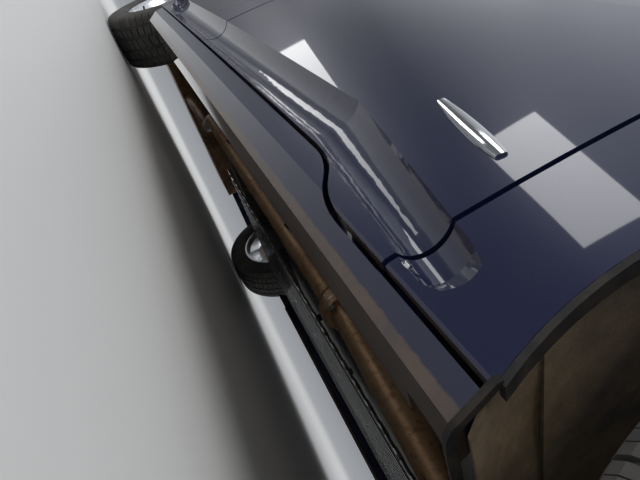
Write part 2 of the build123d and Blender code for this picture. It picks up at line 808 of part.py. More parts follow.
# Pockets where the front edge of each door swings in past its hinge
low, high = DOOR_SWING_Z
with BuildPart() as pockets:
    with BuildSketch(Plane.XY.offset(low)):
        with Locations(*HINGES):
            Circle(DOOR_SWING_R)
    extrude(amount=high - low)
shell = joined(joined(cant.part, ring.part, rebate.part), quarter, scuttle)
body_shell = less(shell, DOOR_RECESS, HOLES, pockets.part)
body_side = joined(main_solid(body_shell), stops.part)
finish(body_side, "body_side_left")
finish(mirrored(body_side), "body_side_right")

# Roof, glass and cowl between the rails
with BuildPart() as roof_panel:
    add(side_prism(side_box((-178, 897), (1200, 1500)), -900, 900))
    add(BETWEEN_RAILS, mode=Mode.INTERSECT)
    add(ROOF, mode=Mode.INTERSECT)
    add(ROOF.moved(Location((0, 0, -30))), mode=Mode.SUBTRACT)
finish(roof_panel.part, "roof_panel")


def screen(y_range):
    """Glass between the rails along this stretch."""
    with BuildPart() as glass:
        add(side_prism(side_box(y_range, (900, 1500)), -900, 900))
        add(BETWEEN_RAILS, mode=Mode.INTERSECT)
        add(ROOF.moved(Location((0, 0, -3))), mode=Mode.INTERSECT)
        add(ROOF.moved(Location((0, 0, -3 - GLASS))), mode=Mode.SUBTRACT)
        add(COWL_TOP, mode=Mode.SUBTRACT)
    return glass.part


finish(screen((-1040, -178)), "windscreen")
finish(screen((897, 1660)), "rear_window")

with BuildPart() as cowl:
    add(side_prism(side_box((-1040, -905), (800, 1100)), -640, 640))
    add(COWL_TOP, mode=Mode.INTERSECT)
    add(COWL_UNDERSIDE, mode=Mode.SUBTRACT)
finish(cowl.part, "cowl_panel")

# Sill covers close the foot of each side under the doors
with BuildSketch() as sill_side:
    with BuildLine():
        Polyline((-1172, SILL_BOTTOM_Z), (870, SILL_BOTTOM_Z), (870, 300), (-1172, 300), close=True)
    make_face()
    add(OPENING_LOW, mode=Mode.SUBTRACT)
    add(side_box((-1300, FRONT_DOOR_Y), (FENDER_FOOT_Z - GAP, 400)), mode=Mode.SUBTRACT)
    add(side_box((840, 1300), (SILL_BOTTOM_Z - 10, 400)), mode=Mode.SUBTRACT)
sill = skin_between(sill_side.sketch, inner=AT_JAMB, start=600.0)
finish(joined(sill, mirrored(sill)), "sill_covers")

# Floor pan: footwell floor with its tunnel, bulkhead, and the raised floor of the boot
FLOOR_Z = 292.0
SHEET = 10.0
TUNNEL_HALF = 130.0
TUNNEL_TOP_Z = 400.0
BULKHEAD_Y = -935.0
HEEL_Y = 680.0
SEAT_PAN_Z = 400.0
SEAT_PAN_REAR_Y = 960.0
BOOT_FLOOR_Z = 430.0
BOOT_REAR_Y = 2240.0
FLOOR_HALF = 840.0
SEAT_PAN_HALF = 740.0
BOOT_HALF = 580.0
with BuildPart() as floor_pan:
    with BuildSketch(Plane.XZ.offset(-HEEL_Y)):
        with BuildLine():
            Polyline(
                (-FLOOR_HALF, FLOOR_Z), (-TUNNEL_HALF, FLOOR_Z), (-TUNNEL_HALF + 30, TUNNEL_TOP_Z),
                (TUNNEL_HALF - 30, TUNNEL_TOP_Z), (TUNNEL_HALF, FLOOR_Z), (FLOOR_HALF, FLOOR_Z),
                (FLOOR_HALF, FLOOR_Z + SHEET), (TUNNEL_HALF + SHEET, FLOOR_Z + SHEET),
                (TUNNEL_HALF - 30 + SHEET, TUNNEL_TOP_Z + SHEET),
                (-TUNNEL_HALF + 30 - SHEET, TUNNEL_TOP_Z + SHEET),
                (-TUNNEL_HALF - SHEET, FLOOR_Z + SHEET), (-FLOOR_HALF, FLOOR_Z + SHEET), close=True,
            )
        make_face()
    extrude(amount=HEEL_Y - BULKHEAD_Y)
    add(IN_PILLAR, mode=Mode.INTERSECT)
    with BuildSketch(Plane.YZ):
        with BuildLine():
            Polyline(
                (BULKHEAD_Y, FLOOR_Z), (BULKHEAD_Y - 70, 520), (BULKHEAD_Y - 70, 880),
                (BULKHEAD_Y - 60, 880), (BULKHEAD_Y - 60, 522),
                (BULKHEAD_Y + 12, FLOOR_Z + SHEET), close=True,
            )
        make_face()
    extrude(amount=440, both=True)
    with BuildSketch(Plane.YZ):
        with BuildLine():
            Polyline(
                (HEEL_Y - SHEET, FLOOR_Z), (HEEL_Y, FLOOR_Z), (HEEL_Y + 30, SEAT_PAN_Z),
                (880, SEAT_PAN_Z),
                (880, SEAT_PAN_Z + SHEET), (HEEL_Y + 22, SEAT_PAN_Z + SHEET),
                (HEEL_Y - SHEET, FLOOR_Z + SHEET),
                close=True,
            )
        make_face()
    extrude(amount=SEAT_PAN_HALF, both=True)
    with BuildSketch(Plane.YZ):
        with BuildLine():
            Polyline(
                (870, SEAT_PAN_Z), (SEAT_PAN_REAR_Y, SEAT_PAN_Z), (SEAT_PAN_REAR_Y + 40, BOOT_FLOOR_Z),
                (BOOT_REAR_Y, BOOT_FLOOR_Z), (BOOT_REAR_Y, BOOT_FLOOR_Z + SHEET),
                (SEAT_PAN_REAR_Y + 36, BOOT_FLOOR_Z + SHEET), (SEAT_PAN_REAR_Y - 4, SEAT_PAN_Z + SHEET),
                (870, SEAT_PAN_Z + SHEET), close=True,
            )
        make_face()
    extrude(amount=BOOT_HALF, both=True)
finish(floor_pan.part, "floor_pan")

# Rear inner structure: wheelhouse walls and the panel under the boot's edge
WHEELHOUSE_X = 590.0
BAR_SPACE = side_prism(side_box((1400, 1500), (950, 1050)), -1000, 1000)
with BuildPart() as rear_structure:
    with BuildSketch(Plane.YZ.offset(WHEELHOUSE_X - SHEET)):
        add(side_box((SEAT_PAN_REAR_Y + 40, BOOT_REAR_Y), (BOOT_FLOOR_Z, 720)))
    extrude(amount=SHEET)
    mirror(about=Plane.YZ)
    with BuildSketch(Plane.XZ.offset(-BOOT_REAR_Y)):
        with BuildLine():
            Polyline((-600, BOOT_FLOOR_Z), (600, BOOT_FLOOR_Z), (600, 720), (-600, 720), close=True)
        make_face()
    extrude(amount=-SHEET)
    with BuildSketch(Plane.YZ):
        add(side_box((1430, 1465), (985, 1000)))
    extrude(amount=700, both=True)
    add(less(BAR_SPACE, BETWEEN_RAILS), mode=Mode.SUBTRACT)
    for side in (LEFT, RIGHT):
        with BuildSketch(Plane.YZ.offset(side * (ARM_X + 16))):
            add(side_box((1440, 1515), (985, 1036)))
        extrude(amount=side * 8)
        with BuildSketch(Plane.YZ.offset(side * (ARM_X - 4))):
            with Locations(LID_PIVOT):
                Circle(LID_PIN_R)
        extrude(amount=side * 24)
finish(rear_structure.part, "rear_structure")

# Front structure: two rails, inner wings, strut towers and the radiator's carrier
RAIL_X = 420.0
TOWER_X = 575.0
TOWER_Z = 790.0
with BuildPart() as side_panel:
    with BuildSketch(Plane.XZ.offset(1005)):
        with BuildLine():
            Polyline((385, 425), (455, 425), (820, 700), (820, 828), (600, 828), (385, 515), close=True)
        make_face()
    extrude(amount=29)
    add(IN_PILLAR, mode=Mode.INTERSECT)
footwell_side = side_panel.part
with BuildPart() as front_structure:
    for side in (LEFT, RIGHT):
        with BuildSketch(Plane.XZ.offset(1005)):
            with Locations((side * RAIL_X, 470)):
                Rectangle(60, 110)
        extrude(amount=1195)
        with BuildSketch(Plane.YZ.offset(side * (RAIL_X + 22))):
            with BuildLine():
                Polyline((-1950, 500), (-1005, 500), (-1005, 800), (-1700, 795), (-1950, 710), close=True)
            make_face()
        extrude(amount=side * 8)
        with BuildSketch(Plane.XY.offset(TOWER_Z)):
            with Locations((side * TOWER_X, FRONT_AXLE_Y)):
                Rectangle(300, 260)
        extrude(amount=14)
        with BuildSketch(Plane.YZ.offset(side * 640)):
            with BuildLine():
                Polyline(
                    (-1005, 835), (-1650, 800), (-2165, 680), (-2165, 640), (-1850, 735),
                    (-1650, 755), (-1005, 775),
                    close=True,
                )
            make_face()
        extrude(amount=side * 50)
        with BuildSketch(Plane.YZ.offset(side * 661)):
            with BuildLine():
                Polyline((-1034, 820), (-1008, 820), (-1012, 898), (-1032, 898), close=True)
            make_face()
        extrude(amount=side * 8)
        with BuildSketch(Plane.YZ.offset(side * 649)):
            with Locations(BONNET_PIVOT):
                Circle(BONNET_PIN_R)
        extrude(amount=side * 14)
    for gusset in (footwell_side, mirrored(footwell_side)):
        add(gusset)
    with BuildSketch(Plane.XZ.offset(2150)):
        with Locations((0, 330), (0, 660)):
            Rectangle(1300, 40)
        with Locations((-420, 500), (420, 500)):
            Rectangle(60, 340)
    extrude(amount=30)
finish(front_structure.part, "front_structure")

# Wheels: a tyre with a rounded shoulder, and a rim with spokes and its brake disc
SPOKES = 10
TYRE_SIDES = 64
DISC_R = 155.0
DISC_X = 40.0
HUB_R = 36.0
KNUCKLE_X = 664.0


def on_axle(x, y):
    """A plane in which x runs outwards along an axle and y is the radius."""
    return Plane(origin=(x, y, TYRE_R), x_dir=(1, 0, 0), z_dir=(0, -1, 0))


def tyre(y):
    """Left tyre round an axle, of many flat facets: bead, sidewall, shoulder and tread."""
    half, bore = TYRE_WIDTH / 2, (RIM_R + SEAT) / math.cos(math.pi / TYRE_SIDES)
    profile = [
        (half - 14, bore), (half - 14, bore + 6), (half, RIM_R + 50), (half - 7, TYRE_R - 24),
        (half - 24, TYRE_R),
    ]
    profile += [(-x, r) for x, r in reversed(profile)]
    rings = []
    for i in range(TYRE_SIDES):
        turn = 2 * math.pi * i / TYRE_SIDES
        outwards = Vector(0, math.cos(turn), math.sin(turn))
        rings.append([Vector(WHEEL_X + x, y, TYRE_R) + outwards * r for x, r in profile])
    facets = []
    for ring, following in zip(rings, rings[1:] + rings[:1]):
        for k in range(len(profile)):
            corners = (ring[k - 1], ring[k], following[k], following[k - 1])
            facets.append(Face(Wire.make_polygon(corners)))
    with BuildPart() as whole:
        add(Solid(Shell(facets)))
    return whole.part


def rim(y):
    """Left wheel: barrel, spokes from the hub, and the disc behind them."""
    half = TYRE_WIDTH / 2 - 14
    face = 78.0
    with BuildPart() as wheel:
        with BuildSketch(on_axle(WHEEL_X, y)):
            with BuildLine():
                Polyline(
                    (-half, RIM_R), (-half, RIM_R - 10), (-half + 30, RIM_R - 26),
                    (half - 40, RIM_R - 20),
                    (half - 12, RIM_R - 10), (half, RIM_R - 8), (half, RIM_R), close=True,
                )
            make_face()
            with BuildLine():
                Polyline(
                    (30, 0), (face - 24, 0), (face - 6, 18), (face - 6, 44), (52, 72), (30, 72), close=True,
                )
            make_face()
            with Locations((-DISC_X + 6, DISC_R / 2 + 10)):
                Rectangle(26, DISC_R - 20)
            with Locations((0, HUB_R / 2)):
                Rectangle(70, HUB_R)
        revolve(axis=Axis((WHEEL_X, y, TYRE_R), (1, 0, 0)))
        for i in range(SPOKES):
            turn = Plane.YZ.rotated((360 / SPOKES * i, 0, 0))
            with BuildSketch(Plane(origin=(WHEEL_X + 44, y, TYRE_R), x_dir=turn.x_dir, z_dir=(1, 0, 0))):
                with BuildLine():
                    Polyline((45, -17), (RIM_R - 14, -11), (RIM_R - 14, 11), (45, 17), close=True)
                make_face()
            extrude(amount=26)
    return wheel.part


for axle, y in (("front", FRONT_AXLE_Y), ("rear", REAR_AXLE_Y)):
    left_tyre, left_rim = tyre(y), rim(y)
    finish(left_tyre, f"tyre_{axle}_left")
    finish(mirrored(left_tyre), f"tyre_{axle}_right")
    finish(left_rim, f"wheel_{axle}_left")
    finish(mirrored(left_rim), f"wheel_{axle}_right")



def caliper(y):
    """Left brake caliper round the disc's rear edge, with the bracket that carries it."""
    disc_low, disc_high = WHEEL_X - DISC_X - 7, WHEEL_X - DISC_X + 19
    with BuildPart() as body:
        with BuildSketch(Plane.YZ.offset(disc_low - 18)) as pad:
            with BuildLine():
                Polyline(
                    (y + 92, 290), (y + 150, 270), (y + 182, TYRE_R), (y + 150, 410), (y + 92, 390), close=True,
                )
            make_face()
            fillet(pad.vertices(), 12)
        extrude(amount=disc_high - disc_low + 36)
        with BuildSketch(Plane.YZ.offset(disc_low - 5.5)):
            with Locations((y, TYRE_R)):
                Circle(DISC_R + 6)
        extrude(amount=disc_high - disc_low + 11, mode=Mode.SUBTRACT)
        with BuildSketch(Plane.YZ.offset(KNUCKLE_X - 14)):
            with BuildLine():
                Polyline((y + 10, 300), (y + 140, 300), (y + 140, 380), (y + 10, 380), close=True)
            make_face()
        extrude(amount=disc_low - 12 - KNUCKLE_X + 14)
    return body.part


# Front knuckles turn about a line from the lower ball joint to the top of the strut
HUB_FACE_X = WHEEL_X - DISC_X + 6 - 13 - 0.3
ARM_TOP_Z = 204.0
BALL_R = 15.0
TOP_BALL_R = 18.0
BALL_JOINT = (690.0, ARM_TOP_Z + BALL_R + 0.3)
STRUT_TOP = (575.0, TOWER_Z - TOP_BALL_R - 0.3)
STRUT_R = 27.0
SPRING_R = 50.0
with BuildPart() as knuckle:
    with BuildSketch(Plane.YZ.offset(KNUCKLE_X - 14)):
        with BuildLine():
            Polyline(
                (FRONT_AXLE_Y - 34, 215), (FRONT_AXLE_Y + 34, 215), (FRONT_AXLE_Y + 62, TYRE_R),
                (FRONT_AXLE_Y + 30, 470), (FRONT_AXLE_Y - 30, 470),
                (FRONT_AXLE_Y - 62, TYRE_R), close=True,
            )
        make_face()
    extrude(amount=34)
    with BuildSketch(Plane.YZ.offset(KNUCKLE_X)):
        with Locations((FRONT_AXLE_Y, TYRE_R)):
            Circle(58)
    extrude(amount=HUB_FACE_X - KNUCKLE_X)
    for x, z, r in ((*BALL_JOINT, BALL_R), (*STRUT_TOP, TOP_BALL_R)):
        with Locations((x, FRONT_AXLE_Y, z)):
            Sphere(r)
    with BuildSketch(Plane.XZ.offset(-FRONT_AXLE_Y - 25)):
        with BuildLine():
            Polyline((590, 400), (670, 400), (670, 462), (590, 500), close=True)
        make_face()
    extrude(amount=50)
    lean = Vector(STRUT_TOP[0] - 592, 0, STRUT_TOP[1] - 400)
    with BuildSketch(Plane(origin=(592, FRONT_AXLE_Y, 400), z_dir=lean)):
        Circle(STRUT_R)
    extrude(amount=lean.length - 10)
    with BuildSketch(Plane(origin=Vector(592, FRONT_AXLE_Y, 400) + lean * 0.52, z_dir=lean)):
        Circle(SPRING_R)
    extrude(amount=lean.length * 0.48 - 30)
front_knuckle = joined(knuckle.part, caliper(FRONT_AXLE_Y))
finish(front_knuckle, "knuckle_left")
finish(mirrored(front_knuckle), "knuckle_right")

# Lower arms and the crossmember that carries them
with BuildPart() as front_arms:
    for side in (LEFT, RIGHT):
        with BuildSketch(Plane.XY.offset(186)):
            with BuildLine():
                Polyline(
                    (side * 330, -1700), (side * 380, -1700), (side * 700, -1570), (side * 700, -1525),
                    (side * 380, -1330), (side * 330, -1330), (side * 330, -1370), (side * 560, -1545),
                    (side * 330, -1655), close=True,
                )
            make_face()
        extrude(amount=18)
    with BuildSketch(Plane.XY.offset(196)):
        with BuildLine():
            Polyline(
                (-360, -1720), (360, -1720), (360, -1310), (250, -1310), (220, -1500), (-220, -1500),
                (-250, -1310), (-360, -1310), close=True,
            )
        make_face()
    extrude(amount=56)
    with BuildSketch(Plane.XY.offset(204)):
        with Locations(*[(side * 380, y) for side in (LEFT, RIGHT) for y in (-1345, -1685)]):
            Rectangle(60, 50)
    extrude(amount=415 - 204)
finish(front_arms.part, "front_suspension")

with BuildPart() as rear_axle:
    with BuildSketch(Plane.YZ.offset(0)):
        with Locations((REAR_AXLE_Y, 300)):
            Rectangle(90, 90)
    extrude(amount=500, both=True)
    for side in (LEFT, RIGHT):
        with BuildSketch(Plane.XY.offset(250)):
            with BuildLine():
                Polyline(
                    (side * 470, 1000), (side * 530, 1000), (side * 590, 1240), (side * 590, 1350),
                    (side * 470, 1350), close=True,
                )
            make_face()
        extrude(amount=70)
        with BuildSketch(Plane.YZ.offset(side * 580)):
            with Locations((REAR_AXLE_Y, TYRE_R)):
                Circle(58)
        extrude(amount=side * (HUB_FACE_X - 580))
        with BuildSketch(Plane.XY.offset(340)):
            with Locations((side * 500, REAR_AXLE_Y)):
                Circle(50)
        extrude(amount=BOOT_FLOOR_Z - 340 - 0.5)
rear_caliper = caliper(REAR_AXLE_Y)
finish(joined(rear_axle.part, rear_caliper, mirrored(rear_caliper)), "rear_suspension")

# Arch liners round the top of each wheel
LINER = 4.0
LINER_R = ARCH_R + 6
LINER_FOOT_Z = 255.0
UNDER_FENDER = flank_body(SKIN + SEAT)


def arch_liner(axle_y, inner_x):
    """The liner of a left wheel's arch, from this far inboard out to the skin."""
    with BuildPart() as liner:
        with BuildSketch(Plane.YZ.offset(inner_x)):
            add(wheel_disc(axle_y, LINER_R))
            add(wheel_disc(axle_y, LINER_R - LINER), mode=Mode.SUBTRACT)
            add(side_box((axle_y - 500, axle_y + 500), (-200, LINER_FOOT_Z)), mode=Mode.SUBTRACT)
        extrude(amount=900 - inner_x)
        add(UNDER_FENDER, mode=Mode.INTERSECT)
    return liner.part


with BuildPart() as strut_hole:
    with BuildSketch(Plane.XY.offset(600)):
        with Locations((560, FRONT_AXLE_Y)):
            Rectangle(200, 200)
    extrude(amount=200)
front_liner = less(arch_liner(FRONT_AXLE_Y, 480), strut_hole.part)
rear_liner = arch_liner(REAR_AXLE_Y, 600)
finish(joined(front_liner, mirrored(front_liner)), "arch_liners_front")
finish(rear_liner, "arch_liner_rear_left")
finish(mirrored(rear_liner), "arch_liner_rear_right")

# Rubber lips along the edges of the arches
LIP = 5.7
LIP_DEPTH = 16.0
with BuildPart() as lips:
    for y, low in ((FRONT_AXLE_Y, 205), (REAR_AXLE_Y, 246)):
        with BuildSketch(Plane.YZ.offset(700)):
            add(wheel_disc(y, ARCH_R - 0.3))
            add(wheel_disc(y, ARCH_R - 0.3 - LIP), mode=Mode.SUBTRACT)
            add(side_box((y - 500, y + 500), (-200, low)), mode=Mode.SUBTRACT)
        extrude(amount=300)
    add(OUTER, mode=Mode.INTERSECT)
    add(flank_body(LIP_DEPTH), mode=Mode.SUBTRACT)
finish(joined(lips.part, mirrored(lips.part)), "arch_lips")

# Exhaust along the right of the floor, with the flanged joint that shows under the sill
PIPE_R = 30.0
PIPE_X = -400.0
PIPE_Z = 234.0
BEND_Z = 208.0
REAR_PIPE_Z = 218.0
FLANGE_Y = -580.0
FLANGE_R = 45.0
HANGER_Y = (-300.0, 500.0)
with BuildPart() as exhaust:
    with BuildLine() as run:
        FilletPolyline(
            (-200, -1409.7, 400), (-200, -1330, 400), (-200, -1240, 290), (PIPE_X - 10, -1060, BEND_Z),
            (PIPE_X, -640, PIPE_Z), (PIPE_X, 850, PIPE_Z), (-300, 1080, REAR_PIPE_Z),
            (-300, 1640, REAR_PIPE_Z), radius=100,
        )
    with BuildSketch(Plane(origin=run.line @ 0, z_dir=run.line % 0)):
        Circle(PIPE_R)
    sweep()
    with BuildSketch(Plane.XZ.offset(-FLANGE_Y - 16)):
        with Locations((PIPE_X, PIPE_Z)):
            Circle(FLANGE_R)
    extrude(amount=32)
    with BuildSketch(Plane.XY.offset(PIPE_Z)):
        with Locations(*[(PIPE_X, y) for y in HANGER_Y]):
            Rectangle(30, 16)
    extrude(amount=FLOOR_Z - SEAT - PIPE_Z)
    with BuildSketch(Plane.XY.offset(180)) as box:
        with BuildLine():
            Polyline((-560, 1640), (420, 1640), (420, 1990), (-560, 1990), close=True)
        make_face()
        fillet(box.vertices(), 60)
    extrude(amount=150)
    with BuildSketch(Plane.XZ.offset(-1980)):
        with Locations((-470, 250), (330, 250)):
            Circle(38)
            Circle(33, mode=Mode.SUBTRACT)
    extrude(amount=-320)
finish(exhaust.part, "exhaust")

# Ribbed undertray whose near edge is scalloped between its clips
TRAY_X = (-140.0, 600.0)
TRAY_Y = (-1000.0, 880.0)
TRAY_Z = 203.0
SCALLOP = 70.0
with BuildPart() as undertray:
    with BuildSketch(Plane.XY.offset(TRAY_Z)):
        with BuildLine():
            (x0, x1), (y0, y1) = TRAY_X, TRAY_Y
            Polyline((x0, y0), (x1, y0), (x1, y1), (x0, y1), close=True)
        make_face()
        count = int((y1 - y0) / SCALLOP)
        with Locations(*[(x0 - 8, y0 + SCALLOP * (i + 0.5)) for i in range(count)]):
            Circle(22, mode=Mode.SUBTRACT)
    extrude(amount=8)
    with BuildSketch(Plane.XZ.offset(-y1 + 30)):
        with Locations(*[(x0 + 60 + 40 * i, TRAY_Z - 2) for i in range(16)]):
            Rectangle(8, 4)
    extrude(amount=y1 - y0 - 60)
    with BuildSketch(Plane.XY.offset(TRAY_Z + 8)):
        with Locations(*[(x, y) for x in (180, 560) for y in (-800, 0, 800)]):
            Circle(14)
    extrude(amount=FLOOR_Z - TRAY_Z - 8)
finish(undertray.part, "undertray")

# Engine as one plain block
with BuildPart() as engine:
    with BuildSketch(Plane.XY.offset(330)) as block:
        with Locations((0, -1640)):
            Rectangle(640, 460)
        fillet(block.vertices(), 30)
    extrude(amount=440)
    fillet(engine.faces().sort_by(Axis.Z)[-1].edges(), 25)
finish(engine.part, "engine")

# Dashboard with its hooded top, and the console between the seats
STEERING = Vector(380.0, -470.0, 830.0)
COLUMN = Vector(0, 0.9, 0.44).normalized()
with BuildPart() as dashboard:
    with BuildSketch(Plane.YZ):
        with BuildLine():
            Polyline(
                (-925, 862), (-650, 925), (-565, 885), (-590, 760), (-700, 640), (-925, 640), close=True,
            )
        make_face()
    extrude(amount=700, both=True)
    with BuildSketch(Plane.YZ) as console:
        with BuildLine():
            Polyline(
                (-880, 410), (260, 410), (260, 560), (-240, 600), (-620, 720), (-880, 720), close=True,
            )
        make_face()
        fillet(console.vertices().group_by(Axis.Y)[-1], 20)
    extrude(amount=100, both=True)
    with BuildSketch(Plane(origin=STEERING, x_dir=(1, 0, 0), z_dir=COLUMN).offset(-240)):
        Circle(24)
    extrude(amount=240 - 10.3)
finish(dashboard.part, "dashboard")

# Steering wheel in front of the left seat, on a sloping column
with BuildPart() as steering_wheel:
    hub = Plane(origin=STEERING, x_dir=(1, 0, 0), z_dir=COLUMN)
    with BuildSketch(Plane(origin=STEERING, x_dir=(1, 0, 0), z_dir=hub.y_dir)):
        with Locations((185, 0)):
            Circle(14)
    revolve(axis=Axis(STEERING, COLUMN))
    with BuildSketch(hub.offset(-10)) as spokes:
        Circle(62)
        Rectangle(360, 30)
        with Locations((0, -90)):
            Rectangle(34, 180)
    extrude(amount=20)
finish(steering_wheel.part, "steering_wheel")

# Seats: cushion and leaning back, the rear one a bench
def seat(x, width, y, low=FLOOR_Z + SHEET):
    """A seat in side view, carried across its width."""
    with BuildPart() as body:
        with BuildSketch(Plane.YZ.offset(x)) as side:
            with BuildLine():
                Polyline(
                    (y - 250, low + 0.3), (y + 230, low + 0.3), (y + 420, low + 700),
                    (y + 400, low + 890),
                    (y + 320, low + 890),
                    (y + 300, low + 720), (y + 140, low + 230), (y - 260, low + 250), close=True,
                )
            make_face()
            fillet(side.vertices(), 28)
        extrude(amount=width / 2, both=True)
    return body.part


left_seat = seat(380, 450, -40)
finish(joined(left_seat, mirrored(left_seat)), "front_seats")
with BuildPart() as rear_seat:
    with BuildSketch(Plane.YZ) as side:
        with BuildLine():
            Polyline(
                (640, SEAT_PAN_Z + SHEET + 0.3), (950, SEAT_PAN_Z + SHEET + 0.3), (992, 441), (1060, 470),
                (1200, 1010), (1100, 1010), (1000, 570), (640, 560), close=True,
            )
        make_face()
        fillet(side.vertices(), 24)
    extrude(amount=560, both=True)
    with BuildSketch(Plane.YZ):
        with BuildLine():
            Polyline((1150, 1000), (1590, 1028), (1590, 1040), (1150, 1012), close=True)
        make_face()
    extrude(amount=490, both=True)
finish(rear_seat.part, "rear_seat")

# Mirrors on the front doors
with BuildPart() as mirror_left:
    with BuildSketch(Plane.XZ.offset(850)) as shell:
        with Locations((960, 1010)):
            Rectangle(190, 130)
        fillet(shell.vertices(), 40)
    extrude(amount=-90, taper=12)
    with BuildSketch(Plane.YZ.offset(800)):
        with Locations((-815, 965)):
            Rectangle(60, 30)
    extrude(amount=100)
    add(OUTER, mode=Mode.SUBTRACT)
finish(mirror_left.part, "mirror_left")
finish(mirrored(mirror_left.part), "mirror_right")
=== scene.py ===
from math import atan2, copysign, cos, exp, hypot, pi, radians, sin, sqrt

import bmesh
import bpy
from mathutils import Matrix, Vector
from mathutils.bvhtree import BVHTree


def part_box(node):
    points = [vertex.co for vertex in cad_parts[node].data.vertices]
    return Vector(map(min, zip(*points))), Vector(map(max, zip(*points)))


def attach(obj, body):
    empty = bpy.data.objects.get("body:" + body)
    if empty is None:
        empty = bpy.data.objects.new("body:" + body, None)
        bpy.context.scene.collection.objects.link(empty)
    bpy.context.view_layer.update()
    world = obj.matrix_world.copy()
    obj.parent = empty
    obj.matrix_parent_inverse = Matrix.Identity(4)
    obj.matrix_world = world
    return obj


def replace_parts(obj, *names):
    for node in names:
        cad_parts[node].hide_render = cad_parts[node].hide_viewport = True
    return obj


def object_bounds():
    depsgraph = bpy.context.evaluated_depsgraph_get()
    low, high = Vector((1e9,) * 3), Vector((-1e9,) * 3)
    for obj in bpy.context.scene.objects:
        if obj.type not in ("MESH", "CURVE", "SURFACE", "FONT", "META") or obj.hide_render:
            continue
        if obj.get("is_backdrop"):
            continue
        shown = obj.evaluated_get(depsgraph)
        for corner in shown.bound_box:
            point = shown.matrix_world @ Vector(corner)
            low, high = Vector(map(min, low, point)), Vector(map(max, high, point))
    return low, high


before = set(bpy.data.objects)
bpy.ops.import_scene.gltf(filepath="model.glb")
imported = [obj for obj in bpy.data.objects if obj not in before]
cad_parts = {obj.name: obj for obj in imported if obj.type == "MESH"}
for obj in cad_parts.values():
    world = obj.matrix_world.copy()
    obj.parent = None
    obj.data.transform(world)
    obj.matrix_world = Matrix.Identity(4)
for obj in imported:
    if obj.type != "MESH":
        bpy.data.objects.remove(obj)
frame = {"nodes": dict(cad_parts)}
cad_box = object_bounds()
nodes, scene = frame["nodes"], bpy.context.scene
SIDES = {1: "left", -1: "right"}
TYRE_R, WHEEL_X, FRONT_AXLE, REAR_AXLE = 0.34, 0.762, -1.55, 1.3
CORNERS = [(axle, y, side) for axle, y in (("front", FRONT_AXLE), ("rear", REAR_AXLE)) for side in SIDES]
FLOOR_TOP = 0.3022
LEFTWARD, REARWARD, UP = Vector((1, 0, 0)), Vector((0, 1, 0)), Vector((0, 0, 1))


# Camera: on the floor beside the right front wheel, looking rearward along the flank
def make_camera():
    forward = Vector((0.595, 0.79, 0.151)).normalized()
    level = forward.cross(UP).normalized()
    above = level.cross(forward)
    roll = radians(63.8)
    right = level * cos(roll) + above * sin(roll)
    top = above * cos(roll) - level * sin(roll)
    camera = bpy.data.objects.new("camera", bpy.data.cameras.new("camera"))
    camera.data.lens, camera.data.clip_start = 27.06, 0.01
    turn = Matrix((right, top, -forward)).transposed().to_4x4()
    camera.matrix_world = Matrix.Translation((-1.155, -1.325, 0.1)) @ turn
    scene.collection.objects.link(camera)
    scene.camera = camera


make_camera()


# Materials
class Shader:
    """A procedural material, its patterns placed by the piece's own coordinates."""

    def __init__(self, name):
        self.material = bpy.data.materials.new(name)
        self.material.use_nodes = True
        self.tree = self.material.node_tree
        self.bsdf = self.tree.nodes["Principled BSDF"]
        place = self.tree.nodes.new("ShaderNodeTexCoord")
        self.where, self.normal = place.outputs["Object"], place.outputs["Normal"]

    def put(self, socket, value):
        if isinstance(value, bpy.types.NodeSocket):
            self.tree.links.new(value, socket)
        elif socket.type == "RGBA":
            socket.default_value = (*value, 1.0)
        else:
            socket.default_value = value

    def add(self, kind, inputs, **settings):
        """A node's outputs, its inputs filled by name or number."""
        node = self.tree.nodes.new("ShaderNode" + kind)
        for name, value in settings.items():
            setattr(node, name, value)
        for name, value in inputs.items():
            self.put(node.inputs[name], value)
        return node.outputs

    def set(self, **values):
        for name, value in values.items():
            self.put(self.bsdf.inputs[name.replace("_", " ")], value)

    def math(self, kind, first, second, clamp=False):
        return self.add("Math", {0: first, 1: second}, operation=kind, use_clamp=clamp)[0]

    def times(self, first, second):
        return self.math("MULTIPLY", first, second)

    def span(self, value, low, high, to_low=0.0, to_high=1.0):
        return self.add("MapRange", dict(enumerate((value, low, high, to_low, to_high))))[0]

    def stretched(self, *scale):
        return self.add("Mapping", {"Vector": self.where, "Scale": scale})[0]

    def noise(self, scale, detail=3.0, roughness=0.5, vector=None):
        return self.add("TexNoise", {"Vector": vector or self.where, "Scale": scale, "Detail": detail,
                                     "Roughness": roughness})["Fac"]

    def cells(self, scale):
        return self.add("TexVoronoi", {"Vector": self.where, "Scale": scale})["Distance"]

    def mix(self, share, first, second):
        return self.add("Mix", {"Factor": share, 6: first, 7: second}, data_type="RGBA")[2]

    def upward(self, vector):
        return self.add("SeparateXYZ", {0: vector})["Z"]

    def bump(self, height, strength, distance):
        bumped = self.add("Bump", {"Height": height, "Strength": strength, "Distance": distance})
        self.put(self.bsdf.inputs["Normal"], bumped[0])
        return self.material


DUST = (0.125, 0.085, 0.048)


